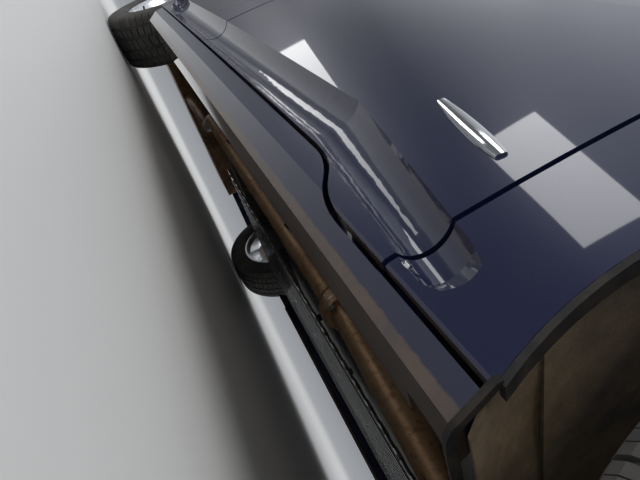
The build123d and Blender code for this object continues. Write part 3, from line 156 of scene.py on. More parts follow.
def paint_shader():
    """Navy metallic paint under clear lacquer, dusty towards the sill and on faces that look down."""
    s = Shader("paint_navy")
    height = s.upward(s.where)
    navy = s.mix(s.span(s.cells(2600.0), 0.0, 0.5), (0.02, 0.028, 0.088), (0.005, 0.008, 0.034))
    ragged = s.math("ADD", height, s.span(s.noise(60.0, 5.0, 0.6), 0.0, 1.0, -0.003, 0.003))
    speckle = s.span(s.noise(38.0, 6.0, 0.7), 0.3, 0.6, 0.55, 1.0)
    film = s.times(s.times(s.span(ragged, 0.1785, 0.1765), speckle), 0.7)
    under = s.times(s.span(s.upward(s.normal), -0.62, -0.85), s.span(height, 0.3, 0.2))
    caked = s.times(under, s.span(s.noise(16.0, 5.0, 0.65), 0.25, 0.6, 0.15, 0.75))
    haze = s.times(s.span(s.noise(7.0, 4.0), 0.3, 0.9), 0.035)
    dust = s.math("MAXIMUM", film, s.math("MAXIMUM", caked, haze), clamp=True)
    s.set(Base_Color=s.mix(dust, navy, DUST), Metallic=0.15, Coat_Weight=1.0, Coat_Roughness=0.03,
          Specular_IOR_Level=0.15, Roughness=s.span(dust, 0.0, 1.0, 0.3, 0.7))
    return s.bump(s.noise(420.0, 2.0), 0.035, 0.0006)


def plain_shader(name, colour, roughness, grain=900.0, strength=0.12, variety=0.2, **more):
    """A moulded or cast surface with a fine grain and slightly uneven colour."""
    s = Shader(name)
    darker = tuple(c * (1 - variety) for c in colour)
    lighter = tuple(min(c * (1 + variety), 1.0) for c in colour)
    cloud = s.noise(9.0, 5.0, 0.6)
    s.set(Base_Color=s.mix(cloud, darker, lighter), **more)
    s.set(Roughness=s.span(cloud, 0.2, 0.8, roughness * 0.85, min(roughness * 1.15, 1.0)))
    return s.bump(s.cells(grain), strength, 0.0006)


def rubber_shader():
    s = Shader("rubber")
    worn = s.span(s.noise(24.0, 6.0, 0.65), 0.4, 0.75)
    low = s.span(s.upward(s.where), 0.45, 0.15, 0.05, 0.35)
    s.set(Base_Color=s.mix(s.times(worn, low), (0.009, 0.009, 0.01), (0.15, 0.115, 0.075)),
          Roughness=0.62, Specular_IOR_Level=0.25)
    return s.bump(s.noise(700.0, 3.0), 0.15, 0.0006)


def liner_shader():
    """Felted wheel arch liner, caked with brown dust low down."""
    s = Shader("liner_felt")
    fibres, patches = s.noise(420.0, 6.0, 0.75), s.noise(7.0, 7.0, 0.68)
    caked = s.times(s.span(s.upward(s.where), 0.66, 0.22), s.span(patches, 0.3, 0.62))
    felt = s.mix(fibres, (0.01, 0.009, 0.009), (0.045, 0.038, 0.03))
    dirt = s.mix(s.noise(60.0, 5.0, 0.7), (0.105, 0.068, 0.034), (0.26, 0.185, 0.1))
    s.set(Base_Color=s.mix(caked, felt, dirt), Roughness=0.95)
    return s.bump(s.math("ADD", fibres, s.times(patches, 0.6)), 0.55, 0.003)


def exhaust_shader():
    """Stainless pipe stained brown by heat and road film."""
    s = Shader("exhaust_steel")
    stain = s.span(s.noise(6.0, 6.0, 0.62, s.stretched(1, 0.35, 1)), 0.3, 0.7)
    speck = s.span(s.noise(70.0, 5.0, 0.7), 0.5, 0.72)
    tint = s.mix(stain, (0.4, 0.27, 0.16), (0.2, 0.105, 0.05))
    s.set(Base_Color=s.mix(speck, tint, (0.14, 0.062, 0.028)), Metallic=0.75,
          Roughness=s.span(stain, 0.0, 1.0, 0.34, 0.62))
    return s.bump(s.noise(260.0, 4.0, 0.6, s.stretched(1, 0.15, 1)), 0.2, 0.001)


def alloy_shader():
    s = Shader("wheel_alloy")
    brushed = s.noise(180.0, 3.0, 0.5, s.stretched(4.0, 1, 1))
    dust = s.span(s.noise(11.0, 5.0, 0.6), 0.45, 0.8, 0.0, 0.3)
    s.set(Base_Color=s.mix(dust, (0.62, 0.63, 0.65), (0.23, 0.19, 0.15)), Metallic=0.9, Coat_Weight=0.5,
          Roughness=s.span(brushed, 0.2, 0.8, 0.2, 0.34))
    return s.bump(brushed, 0.04, 0.0006)


def chrome_shader():
    s = Shader("chrome")
    s.set(Base_Color=s.mix(s.noise(20.0, 4.0), (0.8, 0.81, 0.83), (0.66, 0.67, 0.69)), Metallic=1.0,
          Roughness=s.span(s.noise(55.0, 5.0), 0.3, 0.8, 0.05, 0.14))
    return s.material


def glass_shader(name, tint, share=0.0):
    """Clear or tinted glass with a faint film of dust."""
    s = Shader(name)
    film = s.span(s.noise(8.0, 5.0, 0.6), 0.4, 0.9, 0.0, 0.05)
    s.set(Base_Color=s.mix(film, tint, (0.5, 0.48, 0.45)), Transmission_Weight=1.0 - share, IOR=1.45,
          Roughness=s.span(film, 0.0, 0.05, 0.0, 0.12))
    return s.material


def leather_shader(name, colour):
    """Pebbled leather with soft creases."""
    s = Shader(name)
    grain, crease = s.cells(620.0), s.noise(34.0, 6.0, 0.6)
    lighter = tuple(c * 1.5 for c in colour)
    s.set(Base_Color=s.mix(s.times(crease, grain), colour, lighter),
          Roughness=s.span(crease, 0.3, 0.7, 0.42, 0.6))
    return s.bump(s.math("ADD", grain, s.times(crease, 0.5)), 0.22, 0.0012)


def carpet_shader():
    s = Shader("carpet")
    tufts = s.noise(520.0, 5.0, 0.8)
    s.set(Base_Color=s.mix(tufts, (0.014, 0.014, 0.015), (0.06, 0.06, 0.062)), Roughness=1.0)
    return s.bump(tufts, 0.8, 0.003)


def dusty_shader(name, colours, patches, cover, grain, strength, depth, roughness, **more):
    """A rough surface with dust over it in patches."""
    s = Shader(name)
    dust = s.span(s.noise(*patches), *cover)
    s.set(Base_Color=s.mix(dust, *colours), Roughness=s.span(dust, 0.0, 1.0, *roughness), **more)
    return s.bump(s.noise(*grain), strength, depth)


def cast_shader(name, colour):
    """Rough cast or black-painted steel with road dirt."""
    return dusty_shader(name, (colour, (0.15, 0.11, 0.07)), (18.0, 6.0, 0.65), (0.4, 0.75), (300.0, 5.0, 0.7), 0.4,
                        0.002, (0.5, 0.9), Metallic=0.4)


PAINT, RUBBER, LINER, EXHAUST = paint_shader(), rubber_shader(), liner_shader(), exhaust_shader()
ALLOY, CHROME, CARPET = alloy_shader(), chrome_shader(), carpet_shader()
TYRE = dusty_shader("tyre_rubber", ((0.016, 0.016, 0.017), (0.135, 0.125, 0.112)), (14.0, 6.0, 0.6),
                    (0.3, 0.8, 0.1, 0.55), (1100.0, 4.0), 0.25, 0.0008, (0.78, 0.78))
# Underbody sheet with grey sealer sprayed on; its pale grey is also made lighter than the sealer, a painted bounce
# light from the floor into the shade under the car
PAN = dusty_shader("underbody_sealer_and_painted_bounce_light", ((0.62, 0.61, 0.58), (0.33, 0.27, 0.19)), (5.0, 6.0, 0.65),
                   (0.42, 0.75, 0.0, 0.7), (160.0, 5.0, 0.7), 0.3, 0.002, (0.7, 0.7))
CLEAR = glass_shader("glass_clear", (0.86, 0.9, 0.9))
TINTED = glass_shader("glass_tinted", (0.1, 0.12, 0.125))
LENS = glass_shader("lens_clear", (0.94, 0.96, 0.98))
RED_LENS = glass_shader("lens_red", (0.62, 0.012, 0.012))
AMBER = glass_shader("lens_amber", (0.85, 0.3, 0.02), 0.3)
GLOSS_BLACK = plain_shader("gloss_black", (0.012, 0.012, 0.013), 0.16, 1500.0, 0.03, Coat_Weight=0.6)
TRIM = plain_shader("black_trim", (0.018, 0.018, 0.019), 0.55)
TRAY = plain_shader("undertray_plastic", (0.013, 0.013, 0.014), 0.26, 90.0, 0.004, Coat_Weight=0.3)
SOFT = plain_shader("soft_plastic", (0.022, 0.022, 0.024), 0.62, 480.0, 0.3)
LEATHER = leather_shader("leather_black", (0.022, 0.021, 0.022))
LEATHER_SEAM = leather_shader("leather_seam", (0.06, 0.057, 0.055))
CAST = cast_shader("cast_steel", (0.045, 0.045, 0.047))
STEEL = plain_shader("machined_steel", (0.42, 0.42, 0.43), 0.35, 1200.0, 0.08, Metallic=1.0)
ENGINE = cast_shader("cast_aluminium", (0.36, 0.36, 0.37))
MIRROR = plain_shader("mirror_glass", (0.78, 0.8, 0.82), 0.03, 2000.0, 0.0, Metallic=1.0)
CLIP = plain_shader("clip_nylon", (0.3, 0.28, 0.25), 0.6)
DAY_LAMP = plain_shader("day_lamp", (0.86, 0.87, 0.88), 0.25, 1200.0, 0.05)
PLATE = plain_shader("plate_blank", (0.74, 0.74, 0.72), 0.45, 900.0, 0.04, 0.04)
FELT = plain_shader("felt_black", (0.02, 0.02, 0.02), 0.97, 300.0, 0.6)
HEADLINING = plain_shader("headlining", (0.42, 0.4, 0.37), 0.95, 900.0, 0.3)

# What each CAD node is made of, by the start of its name; the rest are painted
NODE_MATERIALS = {
    "grille": GLOSS_BLACK, "cowl_panel": TRIM, "headlamp_lenses": LENS, "headlamps": CHROME, "tail_lamp": RED_LENS,
    "windscreen": CLEAR, "rear_window": TINTED, "door_glass": TINTED, "arch_liner": LINER, "arch_lips": RUBBER,
    "undertray": TRAY, "floor_pan": PAN, "front_structure": PAN, "rear_structure": PAN, "front_suspension": CAST,
    "rear_suspension": CAST, "knuckle": CAST, "exhaust": EXHAUST, "engine": ENGINE, "dashboard": SOFT,
    "steering_wheel": LEATHER, "tyre": TYRE, "wheel": ALLOY,
}
for name, node in nodes.items():
    node.data.materials.clear()
    node.data.materials.append(next((m for start, m in NODE_MATERIALS.items() if name.startswith(start)), PAINT))


# Helpers for pieces
def dressed(name, mesh, bm, material, body, smooth=True, angle=35.0):
    """A piece with its material, riding on a body."""
    bm.to_mesh(mesh)
    bm.free()
    mesh.materials.append(material)
    if smooth:
        mesh.shade_smooth()
        mesh.set_sharp_from_angle(angle=radians(angle))
    made = bpy.data.objects.new(name, mesh)
    scene.collection.objects.link(made)
    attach(made, body)
    return made


def piece(name, verts, faces, material, body="body", smooth=True):
    mesh = bpy.data.meshes.new(name)
    mesh.from_pydata([tuple(v) for v in verts], [], faces)
    bm = bmesh.new()
    bm.from_mesh(mesh)
    bmesh.ops.recalc_face_normals(bm, faces=bm.faces)
    return dressed(name, mesh, bm, material, body, smooth)


def block(name, low, high, edge, material, body="body", segments=3, tilt=0.0, pivot=None):
    """A block with rounded edges, leaned by some degrees about the car's crosswise axis where asked."""
    middle = (Vector(high) + Vector(low)) / 2
    bm = bmesh.new()
    bmesh.ops.create_cube(bm, size=1.0)
    bmesh.ops.scale(bm, vec=Vector(high) - Vector(low), verts=bm.verts)
    bmesh.ops.bevel(bm, geom=bm.edges[:], offset=edge, segments=segments, profile=0.5, affect="EDGES")
    bmesh.ops.translate(bm, vec=middle, verts=bm.verts)
    turn = Matrix.Rotation(radians(tilt), 3, "X")
    bmesh.ops.rotate(bm, cent=Vector(pivot or middle), matrix=turn, verts=bm.verts)
    return dressed(name, bpy.data.meshes.new(name), bm, material, body)


def turns(count):
    return [2 * pi * k / count for k in range(count)]


def steps(low, high, size):
    count = max(2, round((high - low) / size))
    return [low + (high - low) * k / count for k in range(count + 1)]


def soft_corner(t, power, width, height):
    """A point at this angle of a rounded rectangle of these half sizes."""
    return copysign(abs(cos(t)) ** power, cos(t)) * width, copysign(abs(sin(t)) ** power, sin(t)) * height


def skin(rings, around, loop=False, wrap=True):
    """Quads between rings of points. Loop joins the last ring to the first, wrap closes each ring."""
    return [(i * around + k, i * around + (k + 1) % around, (i + 1) % rings * around + (k + 1) % around,
             (i + 1) % rings * around + k)
            for i in range(rings if loop else rings - 1) for k in range(around if wrap else around - 1)]


def shifted(quads, count):
    return [tuple(k + count for k in quad) for quad in quads]


def rim_faces(quads, count):
    """Faces that join the rim of a sheet of quads to the same sheet whose points follow after the count."""
    borders = {}
    for quad in quads:
        for a, b in zip(quad, quad[1:] + quad[:1]):
            borders.setdefault(frozenset((a, b)), []).append((a, b))
    return [(*ends[0], ends[0][1] + count, ends[0][0] + count) for ends in borders.values() if len(ends) == 1]


def lathe(name, profile, centre, axis, around, material, body="body", closed=False):
    """A profile of (along, radius) turned about an axis through a point."""
    verts = []
    for t in turns(around):
        for a, r in profile:
            c, s = r * cos(t), r * sin(t)
            verts.append(Vector(centre) + Vector({"X": (a, c, s), "Y": (c, a, s), "Z": (c, s, a)}[axis]))
    return piece(name, verts, skin(around, len(profile), loop=True, wrap=closed), material, body)


def heading(path, i, closed):
    before = path[i - 1] if closed or i else path[i]
    after = path[(i + 1) % len(path)] if closed or i < len(path) - 1 else path[i]
    return (after - before).normalized()


def carried(name, path, frames, section, material, body, closed):
    """A section of (across, out) points carried along a path, with both directions given at each point."""
    verts = [point + across * a + out * b for point, (across, out) in zip(path, frames) for a, b in section]
    rings, around = len(path), len(section)
    faces = skin(rings, around, loop=closed)
    if not closed:
        faces += [tuple(range(around))[::-1], tuple((rings - 1) * around + k for k in range(around))]
    return piece(name, verts, faces, material, body)


def sweep(name, path, section, material, body="body", closed=False, up=UP):
    path, frames = [Vector(p) for p in path], []
    for i in range(len(path)):
        along = heading(path, i, closed)
        across = along.cross(up).normalized()
        frames.append((across, across.cross(along)))
    return carried(name, path, frames, section, material, body, closed)


def rod(name, path, radius, material, body="body", around=10, **more):
    """A round bar along a path."""
    sweep(name, path, [(radius * cos(t), radius * sin(t)) for t in turns(around)], material, body, **more)


def strip(name, traced_path, width, thick, material, body="body", closed=False):
    """A crowned strip along a path, its back on the surface whose directions come with the path."""
    path, normals = traced_path
    half = width / 2
    section = [(-half, 0), (-half * 0.9, thick * 0.7), (-half * 0.5, thick), (half * 0.5, thick),
               (half * 0.9, thick * 0.7), (half, 0)]
    frames = [(heading(path, i, closed).cross(normal).normalized(), normal) for i, normal in enumerate(normals)]
    return carried(name, path, frames, section, material, body, closed)


trees = {}


def hit(node, origin, direction):
    """Where a ray from a point first meets a CAD node, and the surface's direction there, towards the ray."""
    if node not in trees:
        mesh = nodes[node].data
        mesh.calc_loop_triangles()
        triangles = [tuple(t.vertices) for t in mesh.loop_triangles]
        trees[node] = BVHTree.FromPolygons([v.co.copy() for v in mesh.vertices], triangles)
    found, normal, _, _ = trees[node].ray_cast(Vector(origin), Vector(direction).normalized())
    if found is not None and normal.dot(Vector(direction)) > 0:
        normal = -normal
    return found, normal


def from_side(side):
    """Rays that come in level from outside the car, at (y, z)."""
    return lambda y, z: ((side * 1.1, y, z), (-side, 0, 0))


def from_ahead(x, z):
    return (x, -3.0, z), (0, 1, 0)


def from_behind(x, z):
    return (x, 3.0, z), (0, -1, 0)


def upward_from(z):
    return lambda x, y: ((x, y, z), (0, 0, 1))


def traced(node, rays, keep=lambda p: True, lift=0.0003):
    """Where rays meet a node, lifted a little off it, with the surface's directions there."""
    found = [(p, normal) for p, normal in (hit(node, *ray) for ray in rays) if p is not None and keep(p)]
    return [p + normal * lift for p, normal in found], [normal for _, normal in found]


def side_strip(name, node, points, side, width, thick, material, body, closed=False):
    path = traced(node, [from_side(side)(y, z) for y, z in points], lambda p: abs(p.x) > 0.45)
    return strip(name, path, width, thick, material, body, closed)


def laid(name, node, body, columns, rows, ray, rise, material, keep=lambda p: True):
    """A thin skin over a grid of rays: where they meet the node, raised by rise(point) along the surface."""
    index, feet, tops = {}, [], []
    for i, u in enumerate(columns):
        for j, v in enumerate(rows):
            found, normal = hit(node, *ray(u, v))
            if found is not None and keep(found):
                index[i, j] = len(feet)
                feet.append(found + normal * 0.0005)
                tops.append(found + normal * rise(found))
    quads = []
    for i in range(len(columns) - 1):
        for j in range(len(rows) - 1):
            corners = ((i, j), (i + 1, j), (i + 1, j + 1), (i, j + 1))
            if all(c in index for c in corners):
                quads.append(tuple(index[c] for c in corners))
    used = sorted({k for quad in quads for k in quad})
    place = {k: n for n, k in enumerate(used)}
    quads = [tuple(place[k] for k in quad) for quad in quads]
    faces = shifted(quads, len(used)) + [quad[::-1] for quad in quads] + rim_faces(quads, len(used))
    return piece(name, [feet[k] for k in used] + [tops[k] for k in used], faces, material, body)


def bolt_head(name, centre, axis, radius, height, material=STEEL, body="body"):
    """A hexagon head on its washer, its top edge bevelled."""
    turn = Vector(axis).normalized().to_track_quat("Z", "Y").to_matrix()
    levels = [(radius * 1.35, 0.0, False), (radius * 1.35, height * 0.18, False), (radius, height * 0.18, True),
              (radius, height * 0.85, True), (radius * 0.82, height, True), (0.0004, height, True)]
    verts, around = [], 24
    for r, level, hexagon in levels:
        for t in turns(around):
            reach = r * cos(pi / 6) / cos((t + pi / 6) % (pi / 3) - pi / 6) if hexagon else r
            verts.append(Vector(centre) + turn @ Vector((reach * cos(t), reach * sin(t), level)))
    return piece(name, verts, skin(len(levels), around) + [tuple(range(around))[::-1]], material, body)


# Seats: crowned pads with sewn channels and piping, on shells with rails
def pad(name, size, place, lean, channels=(), material=LEATHER, body="body"):
    """A stuffed block: its faces crowned, its sides drawn in between the corners, channels sewn into its top."""
    bm = bmesh.new()
    bmesh.ops.create_cube(bm, size=2.0)
    bmesh.ops.subdivide_edges(bm, edges=bm.edges[:], cuts=26, use_grid_fill=True)
    for v in bm.verts:
        x, y, z = v.co
        pull_x = 1 - 0.03 * (1 - y * y) * (1 - z * z)
        pull_y = 1 - 0.03 * (1 - x * x) * (1 - z * z)
        corner = 1 - 0.1 * max(0.0, abs(x) ** 3 + abs(y) ** 3 - 1.0) - 0.1 * abs(z) ** 5
        bulge = 0.7 + 0.3 * (1 - x ** 4) * (1 - y ** 4)
        sewn = 0.0
        if z > 0.2:
            for axis, at, half, deep in channels:
                away = abs((x if axis == "x" else y) - at) / half
                sewn = max(sewn, deep * exp(-away * away) * min(1.0, (z - 0.2) * 2))
        v.co = (x * pull_x * corner * size[0] / 2, y * pull_y * corner * size[1] / 2, z * bulge * size[2] / 2 - sewn)
    bmesh.ops.rotate(bm, cent=(0, 0, 0), matrix=Matrix.Rotation(radians(lean), 3, "X"), verts=bm.verts)
    bmesh.ops.translate(bm, vec=Vector(place), verts=bm.verts)
    made = dressed(name, bpy.data.meshes.new(name), bm, material, body, angle=70)
    return made


def piped_pad(part, tag, size, place, lean, channels):
    """A pad with a sewn cord round the edge of its top."""
    made = pad(f"{part}_{tag}", size, place, lean, channels)
    turn, points = Matrix.Rotation(radians(lean), 3, "X"), []
    for t in turns(72):
        x, y = soft_corner(t, 0.35, size[0] / 2 * 0.93, size[1] / 2 * 0.93)
        points.append(turn @ Vector((x, y, size[2] / 2 * 0.72)) + Vector(place))
    rod(f"{part}_piping_{tag}", points, 0.0028, LEATHER_SEAM, around=8, closed=True, up=turn @ UP)
    return made


CUSHION_CHANNELS = [("y", at, 0.035, 0.006) for at in (-0.5, -0.2, 0.1, 0.4)]
BACK_CHANNELS = [("y", at, 0.03, 0.006) for at in (-0.55, -0.3, -0.05, 0.2, 0.45)]
SIDE_CHANNELS = [("x", at, 0.05, 0.01) for at in (-0.62, 0.62)]
CUSHION_LEAN, FRONT_LEAN, REAR_LEAN = 2, 72, 77


def front_seat(side):
    tag, x = SIDES[side], side * 0.38
    cushion = piped_pad("cushion", tag, (0.45, 0.4, 0.15), (x, -0.095, 0.47), CUSHION_LEAN,
                        CUSHION_CHANNELS + SIDE_CHANNELS)
    piped_pad("backrest", tag, (0.45, 0.5, 0.115), (x, 0.245, 0.775), FRONT_LEAN, BACK_CHANNELS + SIDE_CHANNELS)
    for way in (-1, 1):
        end = f"{tag}_{way + 1}"
        post, rail, shield = x + way * 0.06, x + way * 0.17, x + way * 0.205
        pad(f"bolster_{end}", (0.085, 0.36, 0.17), (x + way * 0.18, -0.105, 0.472), CUSHION_LEAN)
        pad(f"wing_{end}", (0.08, 0.42, 0.14), (x + way * 0.182, 0.232, 0.765), FRONT_LEAN)
        rod(f"post_{end}", [(post, 0.292, 0.98), (post, 0.318, 1.075)], 0.006, CHROME, up=REARWARD)
        block(f"rail_{end}", (rail - 0.02, -0.29, 0.3025), (rail + 0.02, 0.17, 0.335), 0.006, TRIM)
        block(f"shield_{end}", (shield - 0.018, -0.26, 0.335), (shield + 0.018, 0.19, 0.445), 0.016, SOFT)
    pad(f"headrest_{tag}", (0.26, 0.155, 0.095), (x, 0.324, 1.108), FRONT_LEAN, [("y", -0.55, 0.06, 0.004)])
    block(f"seat_base_{tag}", (x - 0.185, -0.25, 0.335), (x + 0.185, 0.16, 0.405), 0.015, SOFT)
    block(f"seat_shell_{tag}", (x - 0.2, 0.255, 0.5), (x + 0.2, 0.275, 0.98), 0.009, SOFT, tilt=-17,
          pivot=(x, 0.3, 0.74))
    return cushion


def rear_bench():
    cushions = []
    for k, (x, width) in enumerate(((-0.365, 0.37), (0.0, 0.34), (0.365, 0.37))):
        cushions.append(piped_pad("bench_cushion", k, (width, 0.35, 0.14), (x, 0.82, 0.4885), 1.5,
                                  CUSHION_CHANNELS))
        piped_pad("bench_back", k, (width, 0.43, 0.085), (x, 1.094, 0.79), REAR_LEAN, BACK_CHANNELS)
    block("bench_base", (-0.55, 0.66, 0.4105), (0.55, 0.945, 0.428), 0.006, SOFT)
    outline = [(1.15, 1.0), (1.59, 1.028), (1.59, 1.04), (1.15, 1.012)]
    shelf = [(x, y, z) for x in (-0.49, 0.49) for y, z in outline]
    piece("parcel_shelf", shelf, skin(2, 4) + [(0, 1, 2, 3), (4, 7, 6, 5)], CARPET, smooth=False)
    return cushions[0]


left_cushion, _ = front_seat(1), front_seat(-1)
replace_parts(left_cushion, "front_seats")
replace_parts(rear_bench(), "rear_seat")


# Cabin: screens, vents, lever, armrest, cup holders, carpets, pedals and the inside mirror
def cabin():
    block("cluster_hood", (0.22, -0.72, 0.9), (0.54, -0.585, 0.935), 0.015, SOFT, tilt=-14)
    block("cluster_screen", (0.25, -0.612, 0.842), (0.51, -0.6, 0.905), 0.003, GLOSS_BLACK, tilt=-16)
    block("centre_screen", (-0.13, -0.6, 0.872), (0.13, -0.586, 1.01), 0.005, GLOSS_BLACK, tilt=-12)
    y, vent_tilt = -0.5795, -11
    for k, (x, half) in enumerate(((-0.6, 0.065), (-0.105, 0.075), (0.105, 0.075), (0.62, 0.05))):
        block(f"vent_frame_{k}", (x - half, y - 0.006, 0.795), (x + half, y + 0.006, 0.85), 0.004, CHROME,
              tilt=vent_tilt)
        for row in range(5):
            z = 0.803 + row * 0.0095
            block(f"vent_slat_{k}_{row}", (x - half + 0.004, y - 0.002, z),
                  (x + half - 0.004, y + 0.009, z + 0.0045), 0.0015, TRIM, segments=1, tilt=vent_tilt,
                  pivot=(x, y, 0.8225))
    lever = (0, -0.31, 0.622)
    lathe("lever_boot", [(0.0, 0.05), (0.012, 0.046), (0.03, 0.03), (0.05, 0.016), (0.062, 0.012)], lever, "Z", 48,
          LEATHER)
    lathe("lever_knob", [(0.055, 0.001), (0.056, 0.011), (0.09, 0.012), (0.1, 0.022), (0.12, 0.025),
                         (0.14, 0.02), (0.148, 0.001)], lever, "Z", 48, LEATHER)
    pad("console_armrest", (0.19, 0.24, 0.055), (0, 0.125, 0.592), -4.5)
    for k, y in enumerate((-0.16, -0.065)):
        place = (0, y, 0.596 - k * 0.008)
        lathe(f"cup_holder_{k}", [(0.0, 0.03), (0.004, 0.036), (0.004, 0.04), (0.0, 0.042)], place, "Z", 64, CHROME)
    for side, tag in SIDES.items():
        low, high = sorted((side * 0.155, side * 0.765))
        for place, front, rear in (("front", -0.915, -0.31), ("rear", 0.2, 0.665)):
            block(f"carpet_{place}_{tag}", (low, front, FLOOR_TOP), (high, rear, 0.311), 0.004, CARPET)
    block("boot_carpet", (-0.572, 1.01, 0.4402), (0.572, 2.23, 0.447), 0.003, CARPET)
    for k, (x, low) in enumerate(((0.3, 0.02), (0.39, 0.0), (0.47, -0.005))):
        block(f"pedal_{k}", (x - 0.03, -0.882, 0.37 + low), (x + 0.03, -0.872, 0.47 + low), 0.004, RUBBER, tilt=-25)
        rod(f"pedal_arm_{k}", [(x, -0.895, 0.44 + low), (x, -0.93, 0.64)], 0.007, CAST, up=LEFTWARD)
    block("mirror_inside", (-0.11, -0.365, 1.215), (0.11, -0.335, 1.275), 0.012, TRIM, tilt=8)
    rod("mirror_stem", [(0, -0.36, 1.25), (0, -0.385, 1.29)], 0.007, TRIM, up=LEFTWARD)


cabin()


# Door cards: a trim panel laid on a door's inner face, with armrest, pocket, handle and speaker
def door_card(place, side, low_y, high_y):
    tag = f"{place}_{SIDES[side]}"
    body = f"door_{tag}"
    outward = lambda y, z: ((side * 0.45, y, z), (side, 0, 0))
    laid(f"door_card_{tag}", body, body, steps(low_y, high_y, 0.0125), steps(0.405, 0.93, 0.0125), outward,
         lambda p: 0.006 + 0.006 * exp(-((p.z - 0.74) / 0.05) ** 2), SOFT, lambda p: 0.7 < abs(p.x) < 0.83)
    middle, length = (low_y + high_y) / 2, (high_y - low_y) * 0.55
    x = abs(hit(body, *outward(middle, 0.68))[0].x)
    pad(f"armrest_{tag}", (0.065, length, 0.05), (side * (x - 0.036), middle, 0.675), 0, body=body)
    inner, outer = sorted((side * (x - 0.045), side * (x - 0.006)))
    block(f"door_pocket_{tag}", (inner, middle - length * 0.55, 0.425), (outer, middle + length * 0.55, 0.52),
          0.012, SOFT, body)
    front = low_y + 0.1
    cone = [(0.0, 0.075), (-0.006, 0.073), (-0.008, 0.066), (-0.004, 0.06), (-0.006, 0.002)]
    lathe(f"speaker_{tag}", [(side * a, r) for a, r in cone], (side * (x - 0.008), front + 0.02, 0.56), "X", 64, TRIM,
          body)
    grip = [(x - 0.012, front, 0.8), (x - 0.028, front + 0.03, 0.802), (x - 0.028, front + 0.09, 0.802)]
    rod(f"door_release_{tag}", [(side * a, y, z) for a, y, z in grip], 0.006, CHROME, body)


for side in SIDES:
    door_card("front", side, -0.935, -0.035)
    door_card("rear", side, 0.125, 0.985)


# Bright mouldings round the side windows, and black covers on the pillars between them
def through(a, b, c, count=14):
    """Points on the arc through three points in side view."""
    (ax, ay), (bx, by), (cx, cy) = a, b, c
    d = 2 * (ax * (by - cy) + bx * (cy - ay) + cx * (ay - by))
    aa, bb, cc = ax * ax + ay * ay, bx * bx + by * by, cx * cx + cy * cy
    ux = (aa * (by - cy) + bb * (cy - ay) + cc * (ay - by)) / d
    uy = (aa * (cx - bx) + bb * (ax - cx) + cc * (bx - ax)) / d
    radius = hypot(ax - ux, ay - uy)
    first, last = atan2(ay - uy, ax - ux), atan2(cy - uy, cx - ux)
    angles = [first + (last - first) * k / count for k in range(count + 1)]
    return [(ux + radius * cos(t), uy + radius * sin(t)) for t in angles]


def moved_in(points, distance):
    """A side view line moved square to itself, down under its run towards the rear."""
    out = []
    for i, (y, z) in enumerate(points):
        before, after = points[max(i - 1, 0)], points[min(i + 1, len(points) - 1)]
        dy, dz = after[0] - before[0], after[1] - before[1]
        length = hypot(dy, dz)
        out.append((y + dz / length * distance, z - dy / length * distance))
    return out


BELT_Z, BELT_RISE, B_GAP_Y = 0.985, 0.04, 0.048
TOP_EDGE = through((-0.59, 1.082), (-0.39, 1.196), (-0.18, 1.298))
TOP_EDGE += through((-0.18, 1.298), (0.25, 1.35), (0.87, 1.282), 24)[1:]
TOP_EDGE += [(0.9, 1.262), (0.95, 1.205), (1.0, 1.152), (1.04, 1.112)]


def window_trim(side):
    top = moved_in(TOP_EDGE, 0.037)
    for place, low, high in (("front", -0.88, B_GAP_Y - 0.006), ("rear", B_GAP_Y + 0.006, 1.045)):
        tag = f"{place}_{SIDES[side]}"
        body = f"door_{tag}"
        belt = [(y, BELT_Z + BELT_RISE * y - 0.007) for y in steps(low, high, 0.03)]
        side_strip(f"belt_moulding_{tag}", body, belt, side, 0.013, 0.003, CHROME, body)
        over = [(y, z) for y, z in top if low + 0.02 < y < high - 0.004]
        side_strip(f"window_moulding_{tag}", body, over, side, 0.01, 0.002, CHROME, body)
    for place, low, high in (("front", -0.012, 0.042), ("rear", 0.055, 0.107)):
        body = f"door_{place}_{SIDES[side]}"
        laid(f"pillar_cover_{place}_{SIDES[side]}", body, body, steps(low, high, 0.009), steps(0.993, 1.298, 0.015),
             from_side(side), lambda p: 0.0016, GLOSS_BLACK, lambda p: abs(p.x) > 0.55)


for side in SIDES:
    window_trim(side)


# Doors: bright bar at the foot of the front door, mirror glass and repeater, lock
def badge_bar(side):
    """A plain tapered chrome bar in the badge's place."""
    body, points, around = f"door_front_{SIDES[side]}", 25, 6
    spots = [(-0.992 + 0.144 * k / (points - 1), 0.355 + 0.03 * k / (points - 1)) for k in range(points)]
    path = traced(body, [from_side(side)(y, z) for y, z in spots])
    made = strip(f"bright_bar_{SIDES[side]}", path, 0.019, 0.0045, CHROME, body)
    for i, centre in enumerate(path[0]):
        narrow = 0.35 + 0.65 * sin(pi * min(1.0, (i + 1) / (points + 1)) ** 0.7) ** 0.6
        for vertex in made.data.vertices[i * around:(i + 1) * around]:
            vertex.co = centre + (vertex.co - centre) * narrow


def mirror_details(side):
    body = f"door_front_{SIDES[side]}"
    (_, front, _), (_, rear, _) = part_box(f"mirror_{SIDES[side]}")
    centre = Vector((side * 0.96, rear + 0.0006, 1.01))
    verts, around, rings = [], 48, ((1.0, 0.0), (0.97, 0.0022), (0.9, 0.0026), (0.0, 0.003))
    for grow, push in rings:
        for t in turns(around):
            x, z = soft_corner(t, 0.45, 0.078 * grow, 0.048 * grow)
            verts.append(centre + Vector((x, push, z)))
    piece(f"mirror_glass_{SIDES[side]}", verts, skin(len(rings), around), MIRROR, body)
    low, high = sorted((side * 0.9, side * 1.02))
    block(f"mirror_lamp_{SIDES[side]}", (low, front - 0.0006, 1.003), (high, front + 0.004, 1.013), 0.0018, AMBER,
          body)


